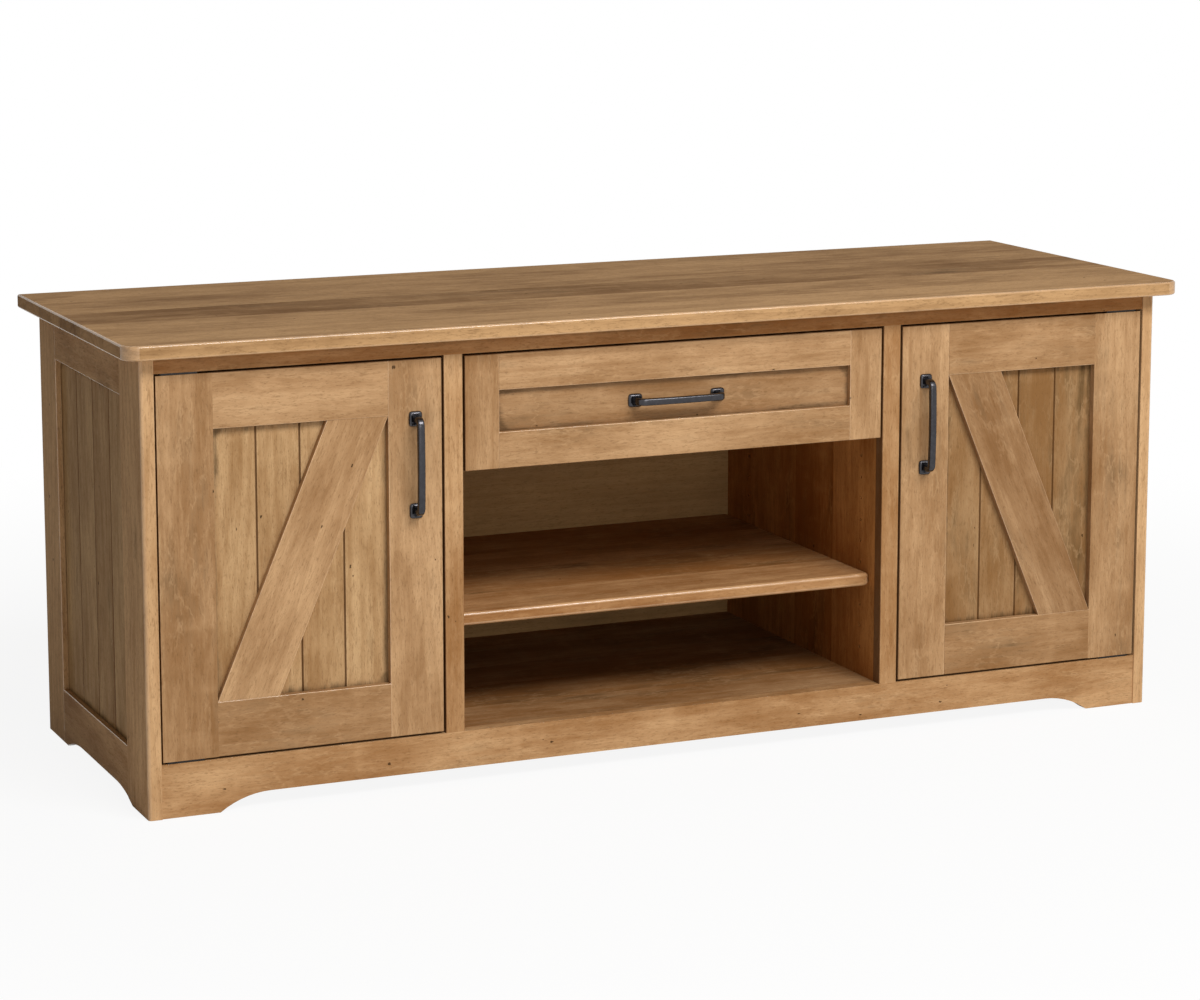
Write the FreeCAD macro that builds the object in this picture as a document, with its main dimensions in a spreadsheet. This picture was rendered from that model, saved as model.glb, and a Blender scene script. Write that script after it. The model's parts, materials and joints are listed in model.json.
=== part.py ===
import FreeCAD, Part

import math
import os
import re

import Sketcher

# A low media stand in solid wood: two inset doors, one drawer over an open bay, frame-and-panel ends.
# Frame: the origin is on the floor under the middle of the top, X runs to the right, the front faces
# -Y and Z is up.  All lengths are millimetres and all angles degrees.

doc = FreeCAD.newDocument("media_stand")

DIMENSIONS = [
    # the case
    ("case_width", 1568, "over the two ends"),
    ("case_depth", 520, "front edge of the ends to the back"),
    ("total_height", 650, "floor to the top face"),
    ("stock", 19, "planed boards of the case"),
    ("back_thickness", 6, "back panel"),
    ("face_setback", 2, "face rails, doors and drawer behind the front edge of the ends"),
    ("door_opening", 410, "width of each cupboard opening"),
    ("divider_width", 28, "upright between a cupboard and the middle bay"),
    ("divider_housing", 6, "divider panels let into the bottom"),
    ("base_height", 75, "floor to the bottom of the openings"),
    ("top_rail_height", 23, "rail seen under the top"),
    ("foot_width", 101, "outer corner to the start of the front arch"),
    ("arch_run", 72, "length of the rounded end of the front arch"),
    ("arch_rise", 23, "height of the front arch"),
    ("stretcher_height", 60, "rear rail under the top"),
    # the top
    ("top_thickness", 20, "slab"),
    ("front_overhang", 30, "slab past the front of the ends"),
    ("side_overhang", 28, "slab past each end"),
    ("back_overhang", 12, "slab past the back"),
    ("top_corner", 24, "plan radius of the two front corners"),
    ("top_arris", 3, "rounding of the slab's edges"),
    # the ends
    ("end_front_stile", 100, "width"),
    ("end_rear_stile", 85, "width"),
    ("end_top_rail", 64, "height under the top"),
    ("end_bottom_rail", 80, "floor to the bottom of the panel"),
    ("end_recess", 8, "panel face behind the frame face"),
    ("post_corner", 5, "rounding of the end's front outer corner"),
    ("end_front_foot", 80, "front edge to the start of the side arch"),
    ("end_rear_foot", 103, "back edge to the start of the side arch"),
    ("side_arch_run", 80, "length of the rounded end of the side arch"),
    ("side_arch_rise", 15, "height of the side arch"),
    # frames and panels
    ("panel_thickness", 6.5, "all panels of frames"),
    ("tongue", 8, "panel edge housed in its frame"),
    ("tenon", 18, "stub tenon of a rail"),
    ("panel_slack", 1, "room for a panel to move in its housing"),
    ("bead_width", 3, "mouth of a V groove"),
    ("bead_depth", 2, "V groove"),
    ("boards", 4, "boards that the V grooves mark out"),
    # doors
    ("reveal", 3, "gap round doors and drawer front"),
    ("front_thickness", 20, "doors and drawer front"),
    ("door_stile", 78, "width"),
    ("door_rail", 76, "height"),
    ("door_lip", 3, "frame wood behind the panel"),
    ("brace_width", 88, "level width of the diagonal brace"),
    ("pull_drop", 149, "top of the opening to the middle of a door pull"),
    # knife hinges
    ("pivot_inset", 10, "pivot to the door's edge"),
    ("pivot_back", 6, "pivot to the door's face"),
    ("leaf_width", 10, "hinge leaf"),
    ("leaf_length", 48, "pivot to the end of the leaf"),
    ("leaf_thickness", 2.5, "hinge leaf"),
    ("leaf_gap", 0.3, "washer space between the leaves"),
    ("pin_radius", 2.5, "hinge pin"),
    ("pin_clearance", 0.05, "running fit of the pin"),
    # catches
    ("catch_width", 44, "magnetic catch"),
    ("catch_depth", 15, "magnetic catch"),
    ("catch_nose", 15, "below the opening's top"),
    ("catch_top", 18, "above the opening's top"),
    ("catch_from_edge", 22, "catch to the door's free edge"),
    ("strike_thickness", 1, "steel plate on the door"),
    ("catch_gap", 0.4, "strike to magnet, door closed"),
    # pulls
    ("pull_centres", 128, "between the screws"),
    ("pull_neck", 13, "face to the start of the elbow"),
    ("pull_elbow", 8, "elbow radius on the centre line"),
    ("pull_bow", 4, "angle at which the bar leaves the elbow"),
    ("bar_width", 10, "across the bar"),
    ("bar_depth", 9, "front to back of the bar"),
    ("bar_corner", 3, "rounding of the bar's section"),
    ("plate_width", 19, "backplate"),
    ("plate_height", 21, "backplate"),
    ("plate_corner", 5, "backplate"),
    ("plate_thickness", 4.5, "backplate"),
    ("plate_dome", 2, "rounding of the backplate's face"),
    ("screw_radius", 2, "pull screw"),
    ("screw_clearance", 0.3, "hole in wood round a pull screw"),
    ("screw_grip", 8, "thread inside the pull"),
    ("head_radius", 4, "pull screw"),
    ("head_height", 2.4, "pull screw"),
    # drawer
    ("drawer_front_height", 161, "drawer front"),
    ("drawer_frame", 51, "width of the drawer front's stiles and rails"),
    ("drawer_lip", 4.5, "frame wood behind the panel"),
    ("drawer_side", 13, "box sides, front and back"),
    ("drawer_box_height", 120, "box"),
    ("drawer_rear_gap", 23, "box to the rear stretcher"),
    ("drawer_box_lift", 12, "box above the bottom of its front"),
    ("drawer_bottom", 6, "box bottom"),
    ("bottom_lift", 10, "box bottom above the lower edge of the sides"),
    ("bottom_housing", 6, "box bottom let into the sides"),
    ("pins", 3, "dovetail pins at each corner"),
    ("pin_tip", 10, "height of a pin at the end of the side"),
    ("pin_base", 18, "height of a pin at the inside of the joint"),
    # slides
    ("slide_width", 12.7, "bay side to drawer side"),
    ("slide_height", 45, "outer member"),
    ("slide_sheet", 1.2, "rolled steel"),
    ("slide_gap", 0.4, "between the members"),
    ("slide_lip", 9, "depth of the outer and middle members"),
    # shelf
    ("shelf_thickness", 19, "adjustable shelf"),
    ("shelf_setback", 34, "shelf behind the front edge of the ends"),
    ("shelf_end_gap", 1, "shelf to each side of the bay"),
    ("shelf_back_gap", 2, "shelf to the back"),
    ("shelf_corner", 8, "plan radius of the shelf's front corners"),
    ("shelf_nosing", 5, "rounding of the shelf's front edge"),
    ("hole_pitch", 32, "shelf pin holes"),
    ("hole_count", 10, "shelf pin holes in a column"),
    ("first_hole", 118, "floor to the lowest hole"),
    ("shelf_hole", 3, "hole that the shelf is in, counted from 0"),
    ("hole_depth", 10, "shelf pin holes"),
    ("hole_front", 66, "front edge of the ends to the front column"),
    ("hole_rear", 80, "rear column to the back"),
    ("shelf_pin_radius", 2.5, "shelf pin"),
    ("shelf_pin_length", 20, "shelf pin"),
]

# Places worked out from the dimensions above.
LAYOUT = [
    ("half_width", "case_width / 2"),
    ("top_depth", "case_depth + front_overhang + back_overhang"),
    ("front_y", "front_overhang - top_depth / 2"),
    ("back_y", "front_y + case_depth"),
    ("face_y", "front_y + face_setback"),
    ("behind_face_y", "face_y + stock"),
    ("behind_front_y", "face_y + front_thickness"),
    ("back_face_y", "back_y - back_thickness"),
    ("case_top", "total_height - top_thickness"),
    ("opening_top", "case_top - top_rail_height"),
    ("opening_height", "opening_top - base_height"),
    ("inner_x", "half_width - stock"),
    ("divider_x", "inner_x - door_opening"),
    ("bay_x", "divider_x - divider_width"),
    ("divider_foot", "base_height - divider_housing"),
    ("end_opening", "case_depth - end_front_stile - end_rear_stile"),
    ("end_opening_top", "case_top - end_top_rail"),
    ("end_opening_height", "end_opening_top - end_bottom_rail"),
    ("door_x", "reveal - inner_x"),
    ("door_width", "door_opening - 2 * reveal"),
    ("door_z", "base_height + reveal"),
    ("door_recess", "front_thickness - panel_thickness - door_lip"),
    ("door_height", "opening_height - 2 * reveal"),
    ("drawer_x", "reveal - bay_x"),
    ("drawer_width", "2 * (bay_x - reveal)"),
    ("drawer_z", "opening_top - reveal - drawer_front_height"),
    ("box_x", "slide_width - bay_x"),
    ("box_width", "-2 * box_x"),
    ("box_z", "drawer_z + drawer_box_lift"),
    ("drawer_recess", "front_thickness - panel_thickness - drawer_lip"),
    ("drawer_box_depth", "back_face_y - stock - drawer_rear_gap - behind_front_y"),
    ("pivot_x", "door_x + pivot_inset"),
    ("pivot_y", "face_y + pivot_back"),
    ("leaf_mortise", "leaf_thickness + leaf_gap / 2 - reveal / 2"),
    ("door_leaf_z", "door_z + door_height - leaf_mortise"),
    ("cabinet_leaf_z", "opening_top + leaf_mortise - leaf_thickness"),
    ("door_middle_z", "door_z + door_height / 2"),
    ("pull_z", "opening_top - pull_drop"),
    ("pull_x", "door_x + door_width - door_stile / 2"),
    ("bow_radius", "(pull_centres / 2 - pull_elbow) / sin(pull_bow) + pull_elbow"),
    ("bow_y", "-pull_neck - pull_elbow * cos(pull_bow)"),
    ("bow_z", "pull_centres / 2 - pull_elbow + pull_elbow * sin(pull_bow)"),
    ("catch_x", "door_x + door_width - catch_from_edge - catch_width"),
    ("slide_z", "box_z + (drawer_box_height - slide_height) / 2"),
    ("pin_hole_z", "first_hole + shelf_hole * hole_pitch"),
    ("shelf_z", "pin_hole_z + shelf_pin_radius"),
    ("shelf_y", "front_y + shelf_setback"),
]


def bound(formula):
    """The formula with each name pointed at its cell."""
    driving = {name for name, _, _ in DIMENSIONS}
    derived = {name for name, _ in LAYOUT}

    def cell(match):
        name = match.group(0)
        if name in driving:
            return "dims." + name
        if name in derived:
            return "layout." + name
        return name

    return re.sub(r"[a-z][a-z0-9_]*", cell, formula)


dims = doc.addObject("Spreadsheet::Sheet", "dims")
for row, (name, size, note) in enumerate(DIMENSIONS, start=1):
    dims.set(f"A{row}", name)
    dims.set(f"B{row}", str(size))
    dims.set(f"C{row}", note)
    dims.setAlias(f"B{row}", name)

layout = doc.addObject("Spreadsheet::Sheet", "layout")
for row, (name, formula) in enumerate(LAYOUT, start=1):
    layout.set(f"A{row}", name)
    layout.set(f"B{row}", "=" + bound(formula))
    layout.setAlias(f"B{row}", name)
doc.recompute()

nodes = []


# ---------------------------------------------------------------- helpers

def size_of(formula):
    """Today's value of a formula."""
    return float(layout.evalExpression(bound(formula)))


def place(thing, at):
    for axis, formula in zip("xyz", at):
        thing.setExpression("Placement.Base." + axis, bound(formula))


def node(thing, label):
    """Mark a finished piece, which is written under its label."""
    thing.Label = label
    nodes.append(thing)
    return thing


def block(name, at, size):
    """Plain board: lowest corner and size along X, Y and Z."""
    made = doc.addObject("Part::Box", name)
    for side, formula in zip(("Length", "Width", "Height"), size):
        made.setExpression(side, bound(formula))
    place(made, at)
    return made


def rod(name, at, radius, length, along="Z"):
    """Cylinder from a point, along +Z, +Y or +X."""
    made = doc.addObject("Part::Cylinder", name)
    made.setExpression("Radius", bound(radius))
    made.setExpression("Height", bound(length))
    turns = {
        "Z": FreeCAD.Rotation(),
        "Y": FreeCAD.Rotation(FreeCAD.Vector(1, 0, 0), -90),
        "X": FreeCAD.Rotation(FreeCAD.Vector(0, 1, 0), 90),
    }
    made.Placement = FreeCAD.Placement(FreeCAD.Vector(), turns[along])
    place(made, at)
    return made


def fused(name, pieces):
    made = doc.addObject("Part::MultiFuse", name)
    made.Shapes = pieces
    made.Refine = True
    return made


def cut(name, base, tools):
    """Base less its tools."""
    made = doc.addObject("Part::Cut", name)
    made.Base = base
    made.Tool = tools[0] if len(tools) == 1 else fused(name + "_tools", tools)
    made.Refine = True
    return made


def group(name, pieces):
    """Separate solids that are counted as one node."""
    made = doc.addObject("Part::Compound", name)
    made.Links = pieces
    return made


def mirrored(name, source, across="X", at="0"):
    """Mirror image across the plane at right angles to X or Z at a place."""
    made = doc.addObject("Part::Mirroring", name)
    made.Source = source
    made.Normal = FreeCAD.Vector(1, 0, 0) if across == "X" else FreeCAD.Vector(0, 0, 1)
    if at != "0":
        made.setExpression("Base." + across.lower(), bound(at))
    return made


def both_hands(left, piece):
    """Name a left-hand piece and add its mirror image on the right."""
    node(left, "left_" + piece)
    return node(mirrored("right_" + piece + "_mirror", left), "right_" + piece)


def body(name, at=("0", "0", "0")):
    made = doc.addObject("PartDesign::Body", name)
    place(made, at)
    return made


def origin_part(owner, role):
    return next(part for part in owner.Origin.OriginFeatures if part.Role == role)


def new_sketch(owner, plane):
    sketch = owner.newObject("Sketcher::SketchObject", f"{owner.Name}_sketch")
    sketch.AttachmentSupport = (origin_part(owner, plane + "_Plane"), "")
    sketch.MapMode = "FlatFace"
    return sketch


def hold(sketch, shape, point, at, axes="XY"):
    """Hold a point of the sketch at a place given by two formulas."""
    for axis, formula in zip("XY", at):
        if axis not in axes:
            continue
        if formula == "0":
            line = -2 if axis == "X" else -1
            sketch.addConstraint(Sketcher.Constraint("PointOnObject", shape, point, line))
            continue
        size = size_of(formula)
        number = sketch.addConstraint(Sketcher.Constraint("Distance" + axis, -1, 1, shape, point, size))
        title = f"{axis.lower()}_{shape}_{point}"
        sketch.renameConstraint(number, title)
        sketch.setExpression("Constraints." + title, bound(formula))


def draw(sketch, corners, centres=None, closed=True):
    """Line of straight and round stretches through corners.

    centres[i] is the place of the centre of the round stretch that starts at corner i; its X holds it.
    """
    centres = centres or {}
    spots = [FreeCAD.Vector(size_of(x), size_of(y), 0) for x, y in corners]
    count = len(corners) if closed else len(corners) - 1
    ends = []
    for i in range(count):
        start, stop = spots[i], spots[(i + 1) % len(spots)]
        if i not in centres:
            shape = sketch.addGeometry(Part.LineSegment(start, stop), False)
            ends.append((shape, 1, 2))
            continue
        middle = FreeCAD.Vector(*[size_of(formula) for formula in centres[i]], 0)
        circle = Part.Circle(middle, FreeCAD.Vector(0, 0, 1), (start - middle).Length)
        first = math.atan2(start.y - middle.y, start.x - middle.x)
        turn = (math.atan2(stop.y - middle.y, stop.x - middle.x) - first) % (2 * math.pi)
        if turn < math.pi + 0.001:
            shape = sketch.addGeometry(Part.ArcOfCircle(circle, first, first + turn), False)
            ends.append((shape, 1, 2))
        else:
            shape = sketch.addGeometry(Part.ArcOfCircle(circle, first + turn, first + 2 * math.pi), False)
            ends.append((shape, 2, 1))
    for i, (shape, start, stop) in enumerate(ends):
        hold(sketch, shape, start, corners[i])
        if i + 1 < len(ends) or closed:
            after = ends[(i + 1) % len(ends)]
            sketch.addConstraint(Sketcher.Constraint("Coincident", shape, stop, after[0], after[1]))
        else:
            hold(sketch, shape, stop, corners[-1])
        if i in centres:
            hold(sketch, shape, 3, centres[i], axes="X")


def outline(owner, plane, corners, centres=None, closed=True):
    sketch = new_sketch(owner, plane)
    draw(sketch, corners, centres, closed)
    return sketch


def draw_rounded(sketch, x0, y0, x1, y1, radius):
    """Rectangle with four round corners."""
    draw(sketch, [
        (f"{x0} + {radius}", y0), (f"{x1} - {radius}", y0),
        (x1, f"{y0} + {radius}"), (x1, f"{y1} - {radius}"),
        (f"{x1} - {radius}", y1), (f"{x0} + {radius}", y1),
        (x0, f"{y1} - {radius}"), (x0, f"{y0} + {radius}"),
    ], {
        1: (f"{x1} - {radius}", f"{y0} + {radius}"),
        3: (f"{x1} - {radius}", f"{y1} - {radius}"),
        5: (f"{x0} + {radius}", f"{y1} - {radius}"),
        7: (f"{x0} + {radius}", f"{y0} + {radius}"),
    })


def circles(owner, plane, centres, radius):
    sketch = new_sketch(owner, plane)
    for x, y in centres:
        middle = FreeCAD.Vector(size_of(x), size_of(y), 0)
        shape = sketch.addGeometry(Part.Circle(middle, FreeCAD.Vector(0, 0, 1), size_of(radius)), False)
        hold(sketch, shape, 3, (x, y))
        number = sketch.addConstraint(Sketcher.Constraint("Radius", shape, size_of(radius)))
        sketch.renameConstraint(number, f"radius_{shape}")
        sketch.setExpression(f"Constraints.radius_{shape}", bound(radius))
    return sketch


# The X-Z plane of a body faces -Y, so its pads are reversed to grow towards +Y.
FACES_BACKWARD = {"XY": False, "YZ": False, "XZ": True}


def pad(owner, plane, sketch, length, backward=False):
    """Grow a sketch along the +axis of its plane, or along the -axis when backward."""
    made = owner.newObject("PartDesign::Pad", owner.Name + "_pad")
    made.Profile = sketch
    made.setExpression("Length", bound(length))
    made.Reversed = FACES_BACKWARD[plane] != backward
    return made


def pocket(owner, plane, sketch, depth, backward=False):
    """Cut along the +axis of the sketch's plane, or along the -axis when backward."""
    made = owner.newObject("PartDesign::Pocket", owner.Name + "_pocket")
    made.Profile = sketch
    made.setExpression("Length", bound(depth))
    made.Reversed = FACES_BACKWARD[plane] == backward
    return made


def repeated(owner, feature, axis, count, spacing):
    made = owner.newObject("PartDesign::LinearPattern", owner.Name + "_pattern")
    made.Originals = [feature]
    made.Direction = (origin_part(owner, axis + "_Axis"), [""])
    made.setExpression("Length", bound(f"({spacing}) * ({count} - 1)"))
    made.setExpression("Occurrences", bound(count))
    owner.Tip = made
    return made


def rounded_edges(owner, feature, radius, wanted):
    """Round the edges of a feature for which wanted(edge) is true."""
    doc.recompute()
    names = [f"Edge{i}" for i, edge in enumerate(feature.Shape.Edges, start=1) if wanted(edge)]
    made = owner.newObject("PartDesign::Fillet", owner.Name + "_fillet")
    made.Base = (feature, names)
    made.setExpression("Radius", bound(radius))
    owner.Tip = made
    return made


def level(edge, axis, place_on_axis):
    """True where an edge lies in the plane at right angles to an axis at a place."""
    box = edge.BoundBox
    low = getattr(box, axis + "Min")
    high = getattr(box, axis + "Max")
    return abs(low - place_on_axis) < 0.01 and abs(high - place_on_axis) < 0.01


def arch(owner, plane, start, stop, run, rise):
    """Space under a board: a level middle with a round stretch down to the floor at each end."""
    radius = f"({run} ^ 2 + {rise} ^ 2) / (2 * {rise})"
    return outline(owner, plane, [
        (start, "0"), (f"{start} + {run}", rise), (f"{stop} - {run}", rise), (stop, "0"),
    ], {
        0: (f"{start} + {run}", f"{rise} - {radius}"),
        2: (f"{stop} - {run}", f"{rise} - {radius}"),
    })


# ---------------------------------------------------------------- top

def make_top():
    top = body("top", ("0", "-top_depth / 2", "case_top"))
    half = "half_width + side_overhang"
    sketch = outline(top, "XY", [
        (f"-({half} - top_corner)", "0"), (f"{half} - top_corner", "0"),
        (half, "top_corner"), (half, "top_depth"), (f"-({half})", "top_depth"), (f"-({half})", "top_corner"),
    ], {
        1: (f"{half} - top_corner", "top_corner"),
        5: (f"-({half} - top_corner)", "top_corner"),
    })
    slab = pad(top, "XY", sketch, "top_thickness")
    high = size_of("top_thickness")
    rounded_edges(top, slab, "top_arris", lambda edge: level(edge, "Z", 0) or level(edge, "Z", high))
    node(top, "top_panel")


# ---------------------------------------------------------------- ends

def make_ends():
    """The left end is a frame with a grooved panel in it; the right one is its mirror image."""
    x = "-half_width"
    # the space under the end: a solid that is taken out of both stiles and the bottom rail
    foot = body("side_arch", (x, "front_y", "0"))
    under = arch(foot, "YZ", "end_front_foot", "(case_depth - end_rear_foot)",
                 "side_arch_run", "side_arch_rise")
    pad(foot, "YZ", under, "stock")

    panel_x = f"{x} + end_recess"
    panel_y = "front_y + end_front_stile - tongue"
    panel_z = "end_bottom_rail - tongue"
    wide = "end_opening + 2 * tongue"
    tall = "end_opening_height + 2 * tongue"
    housing = block("end_housing",
                    (panel_x, f"{panel_y} - panel_slack", f"{panel_z} - panel_slack"),
                    ("panel_thickness", f"{wide} + 2 * panel_slack", f"{tall} + 2 * panel_slack"))
    rails_y = "front_y + end_front_stile"
    tenons = []
    rails = []
    shoulder = "(tongue + panel_slack)"
    for name, z, high, tenon_z, tenon_high in (
        ("top", "end_opening_top", "end_top_rail", f"end_opening_top + {shoulder}",
         f"end_top_rail - 2 * {shoulder}"),
        ("bottom", "0", "end_bottom_rail", "side_arch_rise",
         f"end_bottom_rail - {shoulder} - side_arch_rise"),
    ):
        bar = block(f"end_{name}_rail_bar", (x, rails_y, z), ("stock", "end_opening", high))
        tenons.append(block(f"end_{name}_tenon", (panel_x, f"{rails_y} - tenon", tenon_z),
                            ("panel_thickness", "end_opening + 2 * tenon", tenon_high)))
        rails.append(fused(f"end_{name}_rail_blank", [bar, tenons[-1]]))

    post = body("end_post", (x, "front_y", "0"))
    sketch = outline(post, "XY", [
        ("post_corner", "0"), ("stock", "0"), ("stock", "end_front_stile"),
        ("0", "end_front_stile"), ("0", "post_corner"),
    ], {4: ("post_corner", "post_corner")})
    pad(post, "XY", sketch, "case_top")
    both_hands(cut("end_front_stile_cut", post, [foot, housing] + tenons), "end_front_stile")

    rear = block("end_rear_blank", (x, "back_y - end_rear_stile", "0"),
                 ("stock", "end_rear_stile", "case_top"))
    both_hands(cut("end_rear_stile_cut", rear, [foot, housing] + tenons), "end_rear_stile")
    both_hands(cut("end_top_rail_cut", rails[0], [housing]), "end_top_rail")
    both_hands(cut("end_bottom_rail_cut", rails[1], [housing, foot]), "end_bottom_rail")

    panel = body("end_panel", (panel_x, panel_y, panel_z))
    board = "end_opening / boards"
    pad(panel, "XY", outline(panel, "XY", [
        ("0", "0"), ("panel_thickness", "0"), ("panel_thickness", wide), ("0", wide),
    ]), tall)
    groove = outline(panel, "XY", [
        ("0", f"tongue + {board} - bead_width / 2"), ("bead_depth", f"tongue + {board}"),
        ("0", f"tongue + {board} + bead_width / 2"),
    ])
    repeated(panel, pocket(panel, "XY", groove, tall), "Y", "boards - 1", board)
    both_hands(panel, "end_panel")


# ---------------------------------------------------------------- face and inside of the case

def hinge_blank(name, z):
    """Hinge leaf with a round end about the pivot, before its pin or hole."""
    leaf = body(name, ("pivot_x", "pivot_y", z))
    half = "leaf_width / 2"
    pad(leaf, "XY", outline(leaf, "XY", [
        ("0", f"-{half}"), ("leaf_length", f"-{half}"), ("leaf_length", half), ("0", half),
    ], {3: ("0", "0")}), "leaf_thickness")
    return leaf


def all_corners(source, name):
    """A piece at the top of the left door, and its images at the door's foot and on the right door."""
    low = mirrored(name + "_low", source, "Z", "door_middle_z")
    return [source, low, mirrored(name + "_right", source), mirrored(name + "_right_low", low)]


def make_hinges():
    """Knife hinges: a leaf let into the rail carries the pin, a leaf let into the door turns on it."""
    cabinet_blank = hinge_blank("cabinet_leaf_blank", "cabinet_leaf_z")
    door_blank = hinge_blank("door_leaf_blank", "door_leaf_z")
    pin = rod("hinge_pin", ("pivot_x", "pivot_y", "door_leaf_z + leaf_gap"), "pin_radius",
              "cabinet_leaf_z - door_leaf_z")
    hole = rod("hinge_hole", ("pivot_x", "pivot_y", "door_leaf_z"), "pin_radius + pin_clearance",
               "leaf_thickness")
    leaves = all_corners(fused("cabinet_leaf", [cabinet_blank, pin]), "cabinet_leaf")
    node(group("cabinet_leaf_group", leaves), "hinge_cabinet_leaves")
    upper = cut("door_leaf", door_blank, [hole])
    lower = mirrored("door_leaf_low", upper, "Z", "door_middle_z")
    both_hands(group("door_leaf_group", [upper, lower]), "door_hinge_leaves")
    door_mortises = [door_blank, mirrored("door_blank_low", door_blank, "Z", "door_middle_z")]
    return all_corners(cabinet_blank, "cabinet_blank"), door_mortises


def make_base_rail(name, y, high):
    rail = body(name, ("-inner_x", y, "0"))
    long = "2 * inner_x"
    sketch = outline(rail, "XZ", [("0", "0"), (long, "0"), (long, high), ("0", high)])
    pad(rail, "XZ", sketch, "stock")
    under = arch(rail, "XZ", "(foot_width - stock)",
                 f"({long} - foot_width + stock)", "arch_run", "arch_rise")
    pocket(rail, "XZ", under, "stock")
    return rail


def make_case(leaf_mortises):
    inside = "2 * inner_x"
    rail = block("top_rail_blank", ("-inner_x", "face_y", "opening_top"),
                 (inside, "stock", "top_rail_height"))
    upper = [leaf_mortises[0], leaf_mortises[2]]
    lower = [leaf_mortises[1], leaf_mortises[3]]
    node(cut("face_top_rail_cut", rail, upper), "face_top_rail")
    base = make_base_rail("base_rail_blank", "face_y", "base_height")
    node(cut("face_base_rail_cut", base, lower), "face_base_rail")

    inner_depth = "back_face_y - behind_face_y"
    bottom = block("bottom", ("-inner_x", "behind_face_y", "base_height - stock"),
                   (inside, inner_depth, "stock"))
    housing = block("divider_housing", ("-bay_x - stock", "behind_face_y", "divider_foot"),
                    ("stock", inner_depth, "divider_housing"))
    node(cut("bottom_cut", bottom, [housing, mirrored("divider_housing_right", housing)]), "bottom_panel")
    node(make_base_rail("rear_rail", "back_face_y - stock", "(base_height - stock)"), "rear_bottom_rail")
    node(block("stretcher", ("-inner_x", "back_face_y - stock", "case_top - stretcher_height"),
               (inside, "stock", "stretcher_height")), "rear_top_stretcher")
    node(block("back", ("-inner_x", "back_face_y", "base_height - stock"),
               (inside, "back_thickness", "case_top - base_height + stock")), "back_panel")

    stile = block("divider_stile", ("-divider_x", "face_y", "base_height"),
                  ("divider_width", "stock", "opening_height"))
    both_hands(stile, "divider_stile")
    make_divider(inner_depth)


def make_divider(inner_depth):
    """Upright panel beside the middle bay, notched for the rear stretcher, with two columns of pin holes."""
    panel = body("divider", ("-bay_x", "behind_face_y", "divider_foot"))
    high = "(case_top - divider_foot)"
    deep = f"({inner_depth})"
    pad(panel, "YZ", outline(panel, "YZ", [
        ("0", "0"), (deep, "0"), (deep, f"{high} - stretcher_height"),
        (f"{deep} - stock", f"{high} - stretcher_height"), (f"{deep} - stock", high), ("0", high),
    ]), "stock", backward=True)
    columns = ["front_y + hole_front - behind_face_y", "back_y - hole_rear - behind_face_y"]
    holes = circles(panel, "YZ", [(y, "first_hole - divider_foot") for y in columns], "shelf_pin_radius")
    repeated(panel, pocket(panel, "YZ", holes, "hole_depth", backward=True), "Z", "hole_count", "hole_pitch")
    both_hands(panel, "divider_panel")


def make_shelf():
    shelf = body("shelf", ("0", "shelf_y", "shelf_z"))
    half = "(bay_x - shelf_end_gap)"
    deep = "(back_face_y - shelf_back_gap - shelf_y)"
    board = pad(shelf, "XY", outline(shelf, "XY", [
        (f"-({half} - shelf_corner)", "0"), (f"{half} - shelf_corner", "0"),
        (half, "shelf_corner"), (half, deep), (f"-{half}", deep), (f"-{half}", "shelf_corner"),
    ], {
        1: (f"{half} - shelf_corner", "shelf_corner"),
        5: (f"-({half} - shelf_corner)", "shelf_corner"),
    }), "shelf_thickness")
    high = size_of("shelf_thickness")
    corner = size_of("shelf_corner")

    def front_edge(edge):
        flat = level(edge, "Z", 0) or level(edge, "Z", high)
        return flat and edge.BoundBox.YMax < corner + 0.01

    rounded_edges(shelf, board, "shelf_nosing", front_edge)
    node(shelf, "center_shelf")
    pins = []
    for name, y in (("front", "front_y + hole_front"), ("rear", "back_y - hole_rear")):
        pin = rod(f"{name}_shelf_pin", ("-bay_x - hole_depth", y, "pin_hole_z"), "shelf_pin_radius",
                  "shelf_pin_length", along="X")
        pins += [pin, mirrored(f"{name}_shelf_pin_right", pin)]
    node(group("shelf_pin_group", pins), "shelf_pins")


def make_catches():
    """Magnetic catch behind the top rail, and the steel strike on the back of the door."""
    catch = body("catch", ("catch_x", "behind_face_y", "opening_top"))
    nose_y = "(behind_front_y + strike_thickness + catch_gap - behind_face_y)"
    pad(catch, "YZ", outline(catch, "YZ", [
        ("0", "0"), (nose_y, "0"), (nose_y, "-catch_nose"), (f"{nose_y} + catch_depth", "-catch_nose"),
        (f"{nose_y} + catch_depth", "catch_top"), ("0", "catch_top"),
    ]), "catch_width")
    node(group("catch_group", [catch, mirrored("catch_right", catch)]), "magnetic_catches")
    inset = "catch_width / 10"
    strike = block("strike", (f"catch_x + {inset}", "behind_front_y", "opening_top - catch_nose"),
                   (f"catch_width - 2 * {inset}", "strike_thickness", "catch_nose - 2 * reveal"))
    both_hands(strike, "door_strike_plate")


# ---------------------------------------------------------------- doors and drawer front

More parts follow.
